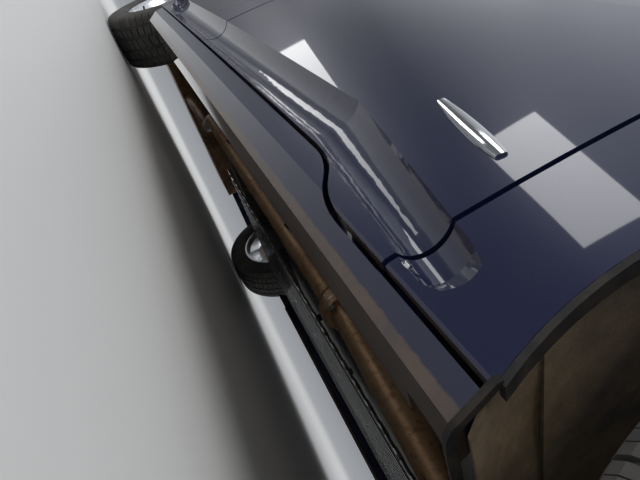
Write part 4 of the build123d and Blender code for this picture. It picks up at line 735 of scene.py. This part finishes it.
for side in SIDES:
    badge_bar(side)
    mirror_details(side)
keyhole, _ = hit("door_front_left", *from_side(1)(-0.015, 0.9))
lathe("lock_left", [(0.0, 0.0105), (0.0016, 0.01), (0.002, 0.008), (0.0012, 0.007), (0.0012, 0.0005)], keyhole,
      "X", 48, CHROME, "door_front_left")


# Sill: rubber deflector at the front end of the cover, splash panel behind the tyre, plugs in the underside
SILL_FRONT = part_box("sill_covers")[0][1]


def deflector(side):
    """A rubber edge that carries the arch's lip on down the sill cover's front end, then inboard under it."""
    line = []
    for k in range(12):
        z = 0.2065 - 0.0365 * k / 11
        node, back = ("sill_covers", 0.006) if z < 0.192 else ("fenders", 0.03)
        found, _ = hit(node, *from_side(side)(SILL_FRONT + back, z))
        if found is not None and abs(found.x) > 0.8:
            line.append(Vector((found.x - side * 0.001, SILL_FRONT - 0.0015, z)))
    outboard = abs(line[-1].x)
    line += [Vector((side * (outboard - 0.003 - 0.006 * k), SILL_FRONT - 0.0015, 0.1665 - 0.0006 * min(k, 4)))
             for k in range(1, 13)]
    section = [(-0.0045, -0.0028), (0.003, -0.0036), (0.0045, 0.0), (0.003, 0.0036), (-0.0045, 0.0028)]
    sweep(f"deflector_{SIDES[side]}", line, section, RUBBER, up=Vector((0.3 * side, 1, 0.2)))


def splash_panel(side):
    """A thin wavy sheet behind the tyre, from the fender's foot and the sill's end inboard."""
    rows, columns, inner, verts = 9, 12, 0.6, []
    for push in (0.0, 0.003):
        for i in range(rows + 1):
            z = 0.257 - 0.083 * i / rows
            y = FRONT_AXLE + sqrt(0.4055 ** 2 - (TYRE_R - z) ** 2) + push - (0.0045 if z < 0.2 else 0.0)
            node = "fenders" if z > 0.2 else "sill_covers"
            edge, _ = hit(node, *from_side(side)(SILL_FRONT + 0.02, max(z, 0.17)))
            outer = (abs(edge.x) if edge is not None else 0.86) - 0.009
            verts += [Vector((side * (inner + (outer - inner) * j / columns),
                              y + 0.0015 * sin(9.0 * j / columns + z * 60), z)) for j in range(columns + 1)]
    quads, half = skin(rows + 1, columns + 1, wrap=False), len(verts) // 2
    piece(f"splash_panel_{SIDES[side]}", verts, quads + shifted(quads, half) + rim_faces(quads, half), LINER)


SILL_PLUG = [(0.0004, 0.0115), (-0.0022, 0.0105), (-0.0028, 0.006), (-0.0016, 0.005), (-0.0016, 0.0004)]
for side, tag in SIDES.items():
    deflector(side)
    splash_panel(side)
    for n, y in enumerate((-0.6, -0.15, 0.35)):
        found, _ = hit("sill_covers", *upward_from(0.05)(side * 0.8, y))
        if found is not None:
            lathe(f"sill_plug_{tag}_{n}", SILL_PLUG, found, "Z", 36, RUBBER)
for side, tag in SIDES.items():
    foot, normal = hit("fenders", *from_side(side)(-1.049, 0.214))
    if foot is not None:
        bolt_head(f"fender_bolt_{tag}", foot, normal, 0.0042, 0.003, CHROME)


# Underbody: flange bolts, exhaust hangers, lines with clips, plugs, jacking pads, tray clips and bolts
PIPE_X, PIPE_Z, PIPE_R, FLANGE_Y, BOLT_CIRCLE = -0.4, 0.234, 0.03, -0.58, 0.0378
FLOOR_PLUG = [(0.0004, 0.019), (-0.0024, 0.018), (-0.003, 0.013), (-0.0014, 0.011), (-0.0014, 0.0004)]
TRAY_X, TRAY_FRONT, TRAY_REAR, TRAY_Z, SCALLOP = -0.14, -1.0, 0.88, 0.203, 0.07


def underbody():
    for k in range(3):
        t = radians(90 + 120 * k)
        x, z = PIPE_X + BOLT_CIRCLE * cos(t), PIPE_Z + BOLT_CIRCLE * sin(t)
        bolt_head(f"flange_bolt_{k}", (x, FLANGE_Y + 0.016, z), (0, 1, 0), 0.0062, 0.008)
        bolt_head(f"flange_nut_{k}", (x, FLANGE_Y - 0.016, z), (0, -1, 0), 0.0062, 0.008)
    lathe("flange_gasket", [(-0.0012, 0.044), (-0.0012, 0.0462), (0.0012, 0.0462), (0.0012, 0.044)],
          (PIPE_X, FLANGE_Y, PIPE_Z), "Y", 72, STEEL, closed=True)
    band = [(-0.006, PIPE_R), (-0.005, PIPE_R + 0.0022), (0.005, PIPE_R + 0.0022), (0.006, PIPE_R)]
    for k, y in enumerate((-0.53, 0.1, 0.6)):
        lathe(f"pipe_band_{k}", band, (PIPE_X, y, PIPE_Z), "Y", 72, EXHAUST)
    for k, y in enumerate((-0.25, 0.45)):
        top = hit("floor_pan", *upward_from(0.281)(PIPE_X, y))[0].z - 0.004
        angles = [radians(a) for a in range(-20, 201, 10)]
        loop = [(PIPE_X + 0.038 * cos(t), y, min(PIPE_Z + 0.008 + 0.038 * sin(t), top)) for t in angles]
        sweep(f"hanger_{k}", loop, [(-0.009, -0.004), (0.009, -0.004), (0.009, 0.004), (-0.009, 0.004)], RUBBER,
              up=REARWARD)
    for k, x in enumerate((-0.205, -0.222, -0.239)):
        path = [(x, -0.86 + 0.04 * n, 0.283 + (0.001 if n % 2 else 0)) for n in range(37)]
        rod(f"brake_line_{k}", path, 0.0035, STEEL)
    for k, y in enumerate(steps(-0.8, 0.52, 0.33)):
        block(f"line_clip_{k}", (-0.249, y - 0.007, 0.278), (-0.195, y + 0.007, 0.2915), 0.003, TRIM)
    for k, (x, y) in enumerate(((-0.55, -0.62), (-0.55, -0.2), (-0.55, 0.22), (-0.68, -0.05), (0.68, -0.05),
                                (-0.28, 0.3), (0.68, 0.45), (-0.68, 0.45))):
        found, _ = hit("floor_pan", *upward_from(0.15)(x, y))
        if found is not None and found.z > 0.28:
            lathe(f"floor_plug_{k}", FLOOR_PLUG, found, "Z", 40, RUBBER)
    for side, tag in SIDES.items():
        x = side * 0.745
        for k, y in enumerate((-0.7, 0.55)):
            block(f"jack_pad_{tag}_{k}", (x - 0.028, y - 0.045, 0.283), (x + 0.028, y + 0.045, 0.2925), 0.004, RUBBER)
    for k in range(int((TRAY_REAR - TRAY_FRONT) / SCALLOP)):
        y = TRAY_FRONT + SCALLOP * (k + 1.0)
        lathe(f"tray_clip_{k}", [(0.0004, 0.008), (-0.002, 0.0074), (-0.003, 0.005), (-0.003, 0.0004)],
              (TRAY_X + 0.016, y, TRAY_Z), "Z", 24, CLIP)
        if k % 3 == 0:
            bolt_head(f"tray_bolt_{k}", (TRAY_X + 0.3, y, TRAY_Z), (0, 0, -1), 0.0055, 0.005)


underbody()


# Front: lamp projectors and strips, fog lamps, bumper lip
PROJECTOR_RING = [(0.01, 0.0275), (0.0, 0.03), (-0.003, 0.029), (-0.002, 0.0265), (0.006, 0.0245)]
PROJECTOR = [(-0.0004, 0.0004), (0.0012, 0.01), (0.0052, 0.018), (0.01, 0.0225)]
FOG_BEZEL = [(0.012, 0.058), (-0.004, 0.056), (-0.007, 0.05), (-0.004, 0.044), (0.012, 0.042)]
FOG_LENS = [(-0.006, 0.0004), (-0.0055, 0.02), (-0.0035, 0.036), (0.001, 0.0425)]
FOG_BOWL = [(0.0118, 0.0004), (0.01, 0.018), (0.004, 0.034), (-0.001, 0.0415)]


def lamps(side):
    tag, lamp_z = SIDES[side], 0.648
    for k, x in enumerate((0.53, 0.6, 0.67)):
        found, _ = hit("headlamps", (side * x, -2.6, lamp_z), (0, 1, 0))
        if found is not None:
            lathe(f"projector_ring_{tag}_{k}", PROJECTOR_RING, (side * x, found.y, lamp_z), "Y", 64, CHROME,
                  closed=True)
            lathe(f"projector_{tag}_{k}", PROJECTOR, (side * x, found.y - 0.0008, lamp_z), "Y", 48, LENS)
    path = []
    for k in range(31):
        found, _ = hit("headlamp_lenses", *from_ahead(side * (0.49 + 0.24 * k / 30), 0.7))
        if found is not None:
            path.append(found + Vector((0, 0.013, -0.012 * sin(pi * k / 30))))
    rod(f"day_strip_{tag}", path, 0.0045, DAY_LAMP)
    centre, _ = hit("front_bumper", *from_ahead(side * 0.61, 0.345))
    lathe(f"fog_bezel_{tag}", FOG_BEZEL, centre, "Y", 72, GLOSS_BLACK, closed=True)
    lathe(f"fog_lens_{tag}", FOG_LENS, centre, "Y", 64, LENS)
    lathe(f"fog_bowl_{tag}", FOG_BOWL, centre, "Y", 64, CHROME)


def wiper(k, pivot_x, tip_x):
    base, _ = hit("cowl_panel", (pivot_x, -0.985, 1.3), (0, 0, -1))
    lathe(f"wiper_pivot_{k}", [(-0.002, 0.014), (0.01, 0.013), (0.017, 0.01), (0.019, 0.0004)], base, "Z", 40, TRIM)
    start = pivot_x - 0.03
    rays = [((start + (tip_x - start) * t, -1.1 + 0.02 * t, 1.12 + 0.012 * t), (0, 0.78, -0.62))
            for t in steps(0.0, 1.0, 1 / 24)]
    blade, normals = traced("windscreen", rays, lift=0.0)
    for part, lift, width, thick, material in (("rubber", 0.0004, 0.006, 0.009, RUBBER),
                                               ("spine", 0.009, 0.012, 0.005, TRIM)):
        path = [p + normal * lift for p, normal in zip(blade, normals)]
        strip(f"wiper_{part}_{k}", (path, normals), width, thick, material)
    middle = len(blade) // 2
    arm = [base + UP * 0.014, base + UP * 0.022 + (blade[middle] - base) * 0.12]
    arm += [base.lerp(blade[middle], t) + normals[middle] * (0.02 - 0.004 * t) + UP * 0.006
            for t in (0.3, 0.5, 0.7, 0.9, 1.0)]
    sweep(f"wiper_arm_{k}", arm, [(-0.006, -0.002), (0.006, -0.002), (0.004, 0.003), (-0.004, 0.003)], TRIM)


for side in SIDES:
    lamps(side)
laid("front_lip", "front_bumper", "body", steps(-0.6, 0.6, 0.04), steps(0.195, 0.24, 0.015), from_ahead,
     lambda p: 0.0016, TRIM, lambda p: p.y < -2.0)
wiper(0, 0.5, -0.05)
wiper(1, -0.02, -0.53)


# Rear: blank plate with its hood and lamps, tail lamp bars, exhaust sleeves, reflectors, valance, fin and flap
def plate():
    z, body, half, tall = 0.845, "boot_lid", 0.155, 0.077
    ends = [hit(body, *from_behind(0.0, z + rise))[0].y for rise in (-0.07, 0.07)]
    y = max(ends) + 0.0045
    block("plate_blank", (-half, y - 0.0015, z - tall), (half, y, z + tall), 0.0006, PLATE, body, segments=1)
    for k, (x0, x1, z0, z1) in enumerate(((-0.16, 0.16, 0.072, 0.081), (-0.16, 0.16, -0.081, -0.072),
                                          (-0.16, -0.151, -0.072, 0.072), (0.151, 0.16, -0.072, 0.072))):
        block(f"plate_frame_{k}", (x0, y - 0.004, z + z0), (x1, y + 0.003, z + z1), 0.0018, CHROME, body, segments=2)
    for k, x in enumerate((-0.09, 0.09)):
        bolt_head(f"plate_bolt_{k}", (x, y, z + 0.058), (0, 1, 0), 0.0045, 0.003, STEEL, body)
    block("plate_back", (-0.15, min(ends) - 0.03, z - 0.07), (0.15, y - 0.0016, z + 0.07), 0.004, TRIM, body)
    block("plate_hood", (-0.185, y - 0.022, z + 0.086), (0.185, y + 0.006, z + 0.103), 0.005, CHROME, body)
    for k, x in enumerate((-0.1, 0.1)):
        block(f"plate_lamp_{k}", (x - 0.02, y - 0.014, z + 0.082), (x + 0.02, y - 0.002, z + 0.0862), 0.0015,
              LENS, body)


def at_the_back(p):
    return p.y > 2.0


def rear_corner(side):
    tag = SIDES[side]
    for row, (z, material) in enumerate(((0.826, RED_LENS), (0.862, LENS), (0.898, RED_LENS))):
        rays = [from_behind(side * x, z) for x in steps(0.45, 0.75, 0.0125)]
        strip(f"tail_bar_{tag}_{row}", traced("tail_lamps", rays, at_the_back), 0.014, 0.003, material)
    sleeve = [(2.2, 0.0384), (2.2, 0.04), (2.296, 0.0405), (2.2995, 0.0395), (2.299, 0.0335), (2.29, 0.0325)]
    lathe(f"exhaust_sleeve_{tag}", sleeve, (0.33 if side > 0 else -0.47, 0, 0.25), "Y", 72, CHROME)
    rays = [from_behind(side * x, 0.42) for x in steps(0.58, 0.72, 0.00875)]
    strip(f"reflector_{tag}", traced("rear_bumper", rays, at_the_back), 0.026, 0.003, RED_LENS)


def aerial_fin():
    levels = ((0.0, 0.07, 0.024, 0.0), (0.01, 0.066, 0.019, 0.004), (0.022, 0.052, 0.012, 0.012),
              (0.032, 0.034, 0.0075, 0.021), (0.039, 0.018, 0.004, 0.029), (0.041, 0.006, 0.0015, 0.033))
    verts, around = [], 28
    for rise, half_length, half_width, back in levels:
        for t in turns(around):
            x, y = half_width * cos(t), 0.78 + back + half_length * sin(t)
            foot, _ = hit("roof_panel", (x, min(y, 0.89), 2.0), (0, 0, -1))
            verts.append(Vector((x, y, foot.z + rise - 0.001)))
    cap = tuple(range((len(levels) - 1) * around, len(levels) * around))
    piece("aerial_fin", verts, skin(len(levels), around) + [cap], PAINT)


plate()
for side in SIDES:
    rear_corner(side)
laid("rear_valance", "rear_bumper", "body", steps(-0.64, 0.64, 0.04), steps(0.215, 0.305, 0.015), from_behind,
     lambda p: 0.0016, TRIM, at_the_back)
aerial_fin()
flap = [(1.56 + y, 0.85 + z) for y, z in (soft_corner(t, 0.4, 0.075, 0.07) for t in turns(48))]
side_strip("fuel_flap_seam", "body_side_right", flap, -1, 0.0032, 0.0004, TRIM, "body", closed=True)


# Wheels: centre cap, nuts and valve; springs round the front struts
def wheel_details(axle, y, side):
    tag = f"{axle}_{SIDES[side]}"
    body = f"wheel_{tag}"
    face = hit(body, (side * 1.2, y, TYRE_R), (-side, 0, 0))[0].x
    cap = [(0.001 * side, 0.032), (0.006 * side, 0.031), (0.009 * side, 0.024), (0.01 * side, 0.0004)]
    lathe(f"wheel_cap_{tag}", cap, (face, y, TYRE_R), "X", 64, CHROME, body)
    for k in range(5):
        t = radians(126 + 72 * k)
        found, _ = hit(body, (side * 1.2, y + 0.0571 * cos(t), TYRE_R + 0.0571 * sin(t)), (-side, 0, 0))
        if found is not None:
            bolt_head(f"wheel_nut_{tag}_{k}", found, (side, 0, 0), 0.0105, 0.014, CHROME, body)
    t = radians(234)
    valve = Vector((side * (WHEEL_X + 0.085), y + 0.212 * cos(t), TYRE_R + 0.212 * sin(t)))
    path = [valve + Vector((side * out, -inward * cos(t), -inward * sin(t)))
            for out, inward in ((0, 0), (0.012, 0.01), (0.034, 0.016))]
    rod(f"valve_{tag}", path, 0.0042, RUBBER, body)


def coil_spring(name, foot, top, body, radius=0.055, wire=0.0055, coils=5):
    along = (top - foot).normalized()
    across = along.cross(REARWARD).normalized()
    other = along.cross(across)
    path = []
    for k in range(coils * 24 + 1):
        t = 2 * pi * k / 24
        path.append(foot + (top - foot) * (k / (coils * 24)) + (across * cos(t) + other * sin(t)) * radius)
    rod(name, path, wire, CAST, body, around=8, up=along)


for corner in CORNERS:
    wheel_details(*corner)
for side, tag in SIDES.items():
    foot, top = Vector((side * 0.592, FRONT_AXLE, 0.4)), Vector((side * 0.575, FRONT_AXLE, 0.7717))
    coil_spring(f"spring_{tag}", foot.lerp(top, 0.54), foot.lerp(top, 0.9), f"knuckle_{tag}")


# Linings: headlining and visors, pads under the bonnet and boot lid
def linings():
    laid("headlining", "roof_panel", "body", steps(-0.5, 0.5, 0.04), steps(-0.22, 1.02, 0.04), upward_from(1.1),
         lambda p: 0.004, HEADLINING, lambda p: p.z > 1.25)
    for side, tag in SIDES.items():
        x, y = side * 0.27, -0.14
        roof, _ = hit("roof_panel", *upward_from(1.1)(x, y))
        pad(f"sun_visor_{tag}", (0.36, 0.15, 0.018), (x, y, roof.z - 0.014), 4, material=HEADLINING)
    laid("bonnet_pad", "bonnet", "bonnet", steps(-0.52, 0.52, 0.04), steps(-2.05, -1.2, 0.04), upward_from(0.6),
         lambda p: 0.006, FELT, lambda p: p.z > 0.7)
    laid("boot_lid_pad", "boot_lid", "boot_lid", steps(-0.44, 0.44, 0.04), steps(1.78, 2.16, 0.04), upward_from(0.6),
         lambda p: 0.004, FELT, lambda p: p.z > 0.8)


# Engine: ribbed cover with its bolts and oil cap
def engine_bay():
    block("engine_cover", (-0.26, -1.83, 0.7705), (0.26, -1.46, 0.79), 0.009, SOFT)
    for k in range(7):
        x = -0.18 + 0.06 * k
        block(f"cover_rib_{k}", (x - 0.006, -1.8, 0.789), (x + 0.006, -1.5, 0.794), 0.0022, GLOSS_BLACK, segments=2)
    lathe("oil_cap", [(0.0, 0.024), (0.004, 0.026), (0.01, 0.025), (0.012, 0.02), (0.0125, 0.0004)],
          (0.235, -1.5, 0.7835), "Z", 48, TRIM)
    for k, (x, y) in enumerate(((-0.23, -1.8), (0.23, -1.8), (-0.23, -1.49))):
        bolt_head(f"cover_bolt_{k}", (x, y, 0.7895), (0, 0, 1), 0.006, 0.004)


linings()
engine_bay()

# Tyres: carcass with its sidewall rings, and tread blocks cut by sipes
PITCHES, SIPE = 60, 0.0011
CARCASS = [
    (0.1030, 0.2325), (0.1075, 0.2360), (0.1120, 0.2400), (0.1125, 0.2440), (0.1110, 0.2480), (0.1135, 0.2560),
    (0.1160, 0.2680), (0.1172, 0.2820), (0.1170, 0.2900), (0.1160, 0.2925), (0.1168, 0.2950), (0.1150, 0.3040),
    (0.1115, 0.3150), (0.1060, 0.3235), (0.0980, 0.3290), (0.0850, 0.3315), (0.0, 0.3325),
]


def crown(a):
    """Radius of the tread's surface this far from its middle."""
    return TYRE_R - 0.0005 - 0.42 * a * a


def tread(y, side):
    """All the blocks of one tyre's tread: three ribs and two shoulders, each pitch cut by sipes."""
    verts, faces = [], []
    shoulder = [(0.074, 0.331), (0.074, crown(0.074)), (0.09, crown(0.09) - 0.0003), (0.101, 0.3335),
                (0.109, 0.327), (0.1128, 0.3185), (0.1105, 0.3165), (0.102, 0.324), (0.094, 0.329)]
    rows = [(shoulder, 3, 0.1, 0.01), ([(-a, r) for a, r in shoulder], 3, 0.1, 0.01)]
    for a, b in ((-0.064, -0.03), (-0.021, 0.021), (0.03, 0.064)):
        rib = [(a, 0.331), (a + 0.0015, crown(a)), (b - 0.0015, crown(b)), (b, 0.331)]
        rows.append((rib, 2, 0.2, 0.03))
    pitch = 2 * pi / PITCHES
    for row, (section, parts, groove, slant) in enumerate(rows):
        n, run = len(section), pitch * (1 - groove)
        for i in range(PITCHES * parts):
            low = pitch * (i // parts + 0.37 * row) + run * (i % parts) / parts
            high = low + run / parts - SIPE / TYRE_R
            base = len(verts)
            for t in (low, high):
                for a, r in section:
                    turn = t + slant * (a / 0.1) * (1 if row % 2 else -1)
                    verts.append(Vector((side * (WHEEL_X + a), y + r * cos(turn), TYRE_R + r * sin(turn))))
            faces += shifted(skin(2, n), base)
            faces += [tuple(range(base, base + n))[::-1], tuple(range(base + n, base + 2 * n))]
    return verts, faces


def tyre(axle, y, side):
    tag = f"{axle}_{SIDES[side]}"
    whole = CARCASS + [(-a, r) for a, r in CARCASS[-2::-1]]
    carcass = lathe(f"carcass_{tag}", whole, (side * WHEEL_X, y, TYRE_R), "X", 128, TYRE, f"wheel_{tag}")
    blocks = piece(f"tread_{tag}", *tread(y, side), TYRE, f"wheel_{tag}", smooth=False)
    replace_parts(carcass, f"tyre_{tag}")


for corner in CORNERS:
    tyre(*corner)

# Floor, lamps and a sky that is darker near the horizon: (height, grey), and (name, place, size, power)
SKY = ((0.0, 0.34), (0.1, 0.16), (0.4, 0.13), (0.72, 0.66), (1.0, 0.86))
LAMPS = (
    ("key", (-5.0, -3.0, 5.5), (4.0, 4.0), 190), ("fill", (5.5, -2.0, 4.0), (4.0, 4.0), 100),
    ("rear", (0.0, 6.5, 4.5), (4.0, 4.0), 100), ("low", (-8.0, -1.6, 0.9), (6.0, 1.2), 90),
    ("side_strip", (-6.0, 8.0, 2.4), (5.0, 1.4), 70), ("window", (-6.0, 3.6, 4.5), (2.4, 1.3), 42),
)


def make_stage():
    floor = Shader("floor_pale")
    floor.set(Base_Color=floor.mix(floor.noise(0.8, 4.0), (0.66, 0.655, 0.64), (0.74, 0.735, 0.72)), Roughness=0.5)
    bpy.ops.mesh.primitive_plane_add(size=60, location=(0, 0, -0.0006))
    ground = bpy.context.object
    ground.name = "floor"
    ground.data.materials.append(floor.material)
    ground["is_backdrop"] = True
    world = bpy.data.worlds.new("studio")
    scene.world = world
    world.use_nodes = True
    tree = world.node_tree
    light = tree.nodes["Background"]
    place, split, ramp = (tree.nodes.new("ShaderNode" + kind) for kind in ("TexCoord", "SeparateXYZ", "ValToRGB"))
    tree.links.new(place.outputs["Generated"], split.inputs[0])
    tree.links.new(split.outputs["Z"], ramp.inputs[0])
    tree.links.new(ramp.outputs[0], light.inputs["Color"])
    stops = ramp.color_ramp.elements
    for n, (height, grey) in enumerate(SKY):
        stop = stops[n] if n < 2 else stops.new(height)
        stop.position, stop.color = height, (grey * 0.96, grey, grey * 1.06, 1)
    for name, place, size, power in LAMPS:
        lamp = bpy.data.lights.new(name, "AREA")
        lamp.shape, lamp.size, lamp.size_y, lamp.energy = "RECTANGLE", *size, power
        holder = bpy.data.objects.new(name, lamp)
        holder.location = place
        holder.rotation_euler = (Vector((0, 0, 0.6)) - Vector(place)).to_track_quat("-Z", "Y").to_euler()
        scene.collection.objects.link(holder)


make_stage()
scene.view_settings.view_transform = "Standard"
sizes = {"cad": cad_box, "visual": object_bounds()}
sizes = {name: [list(corner) for corner in box] for name, box in sizes.items()}
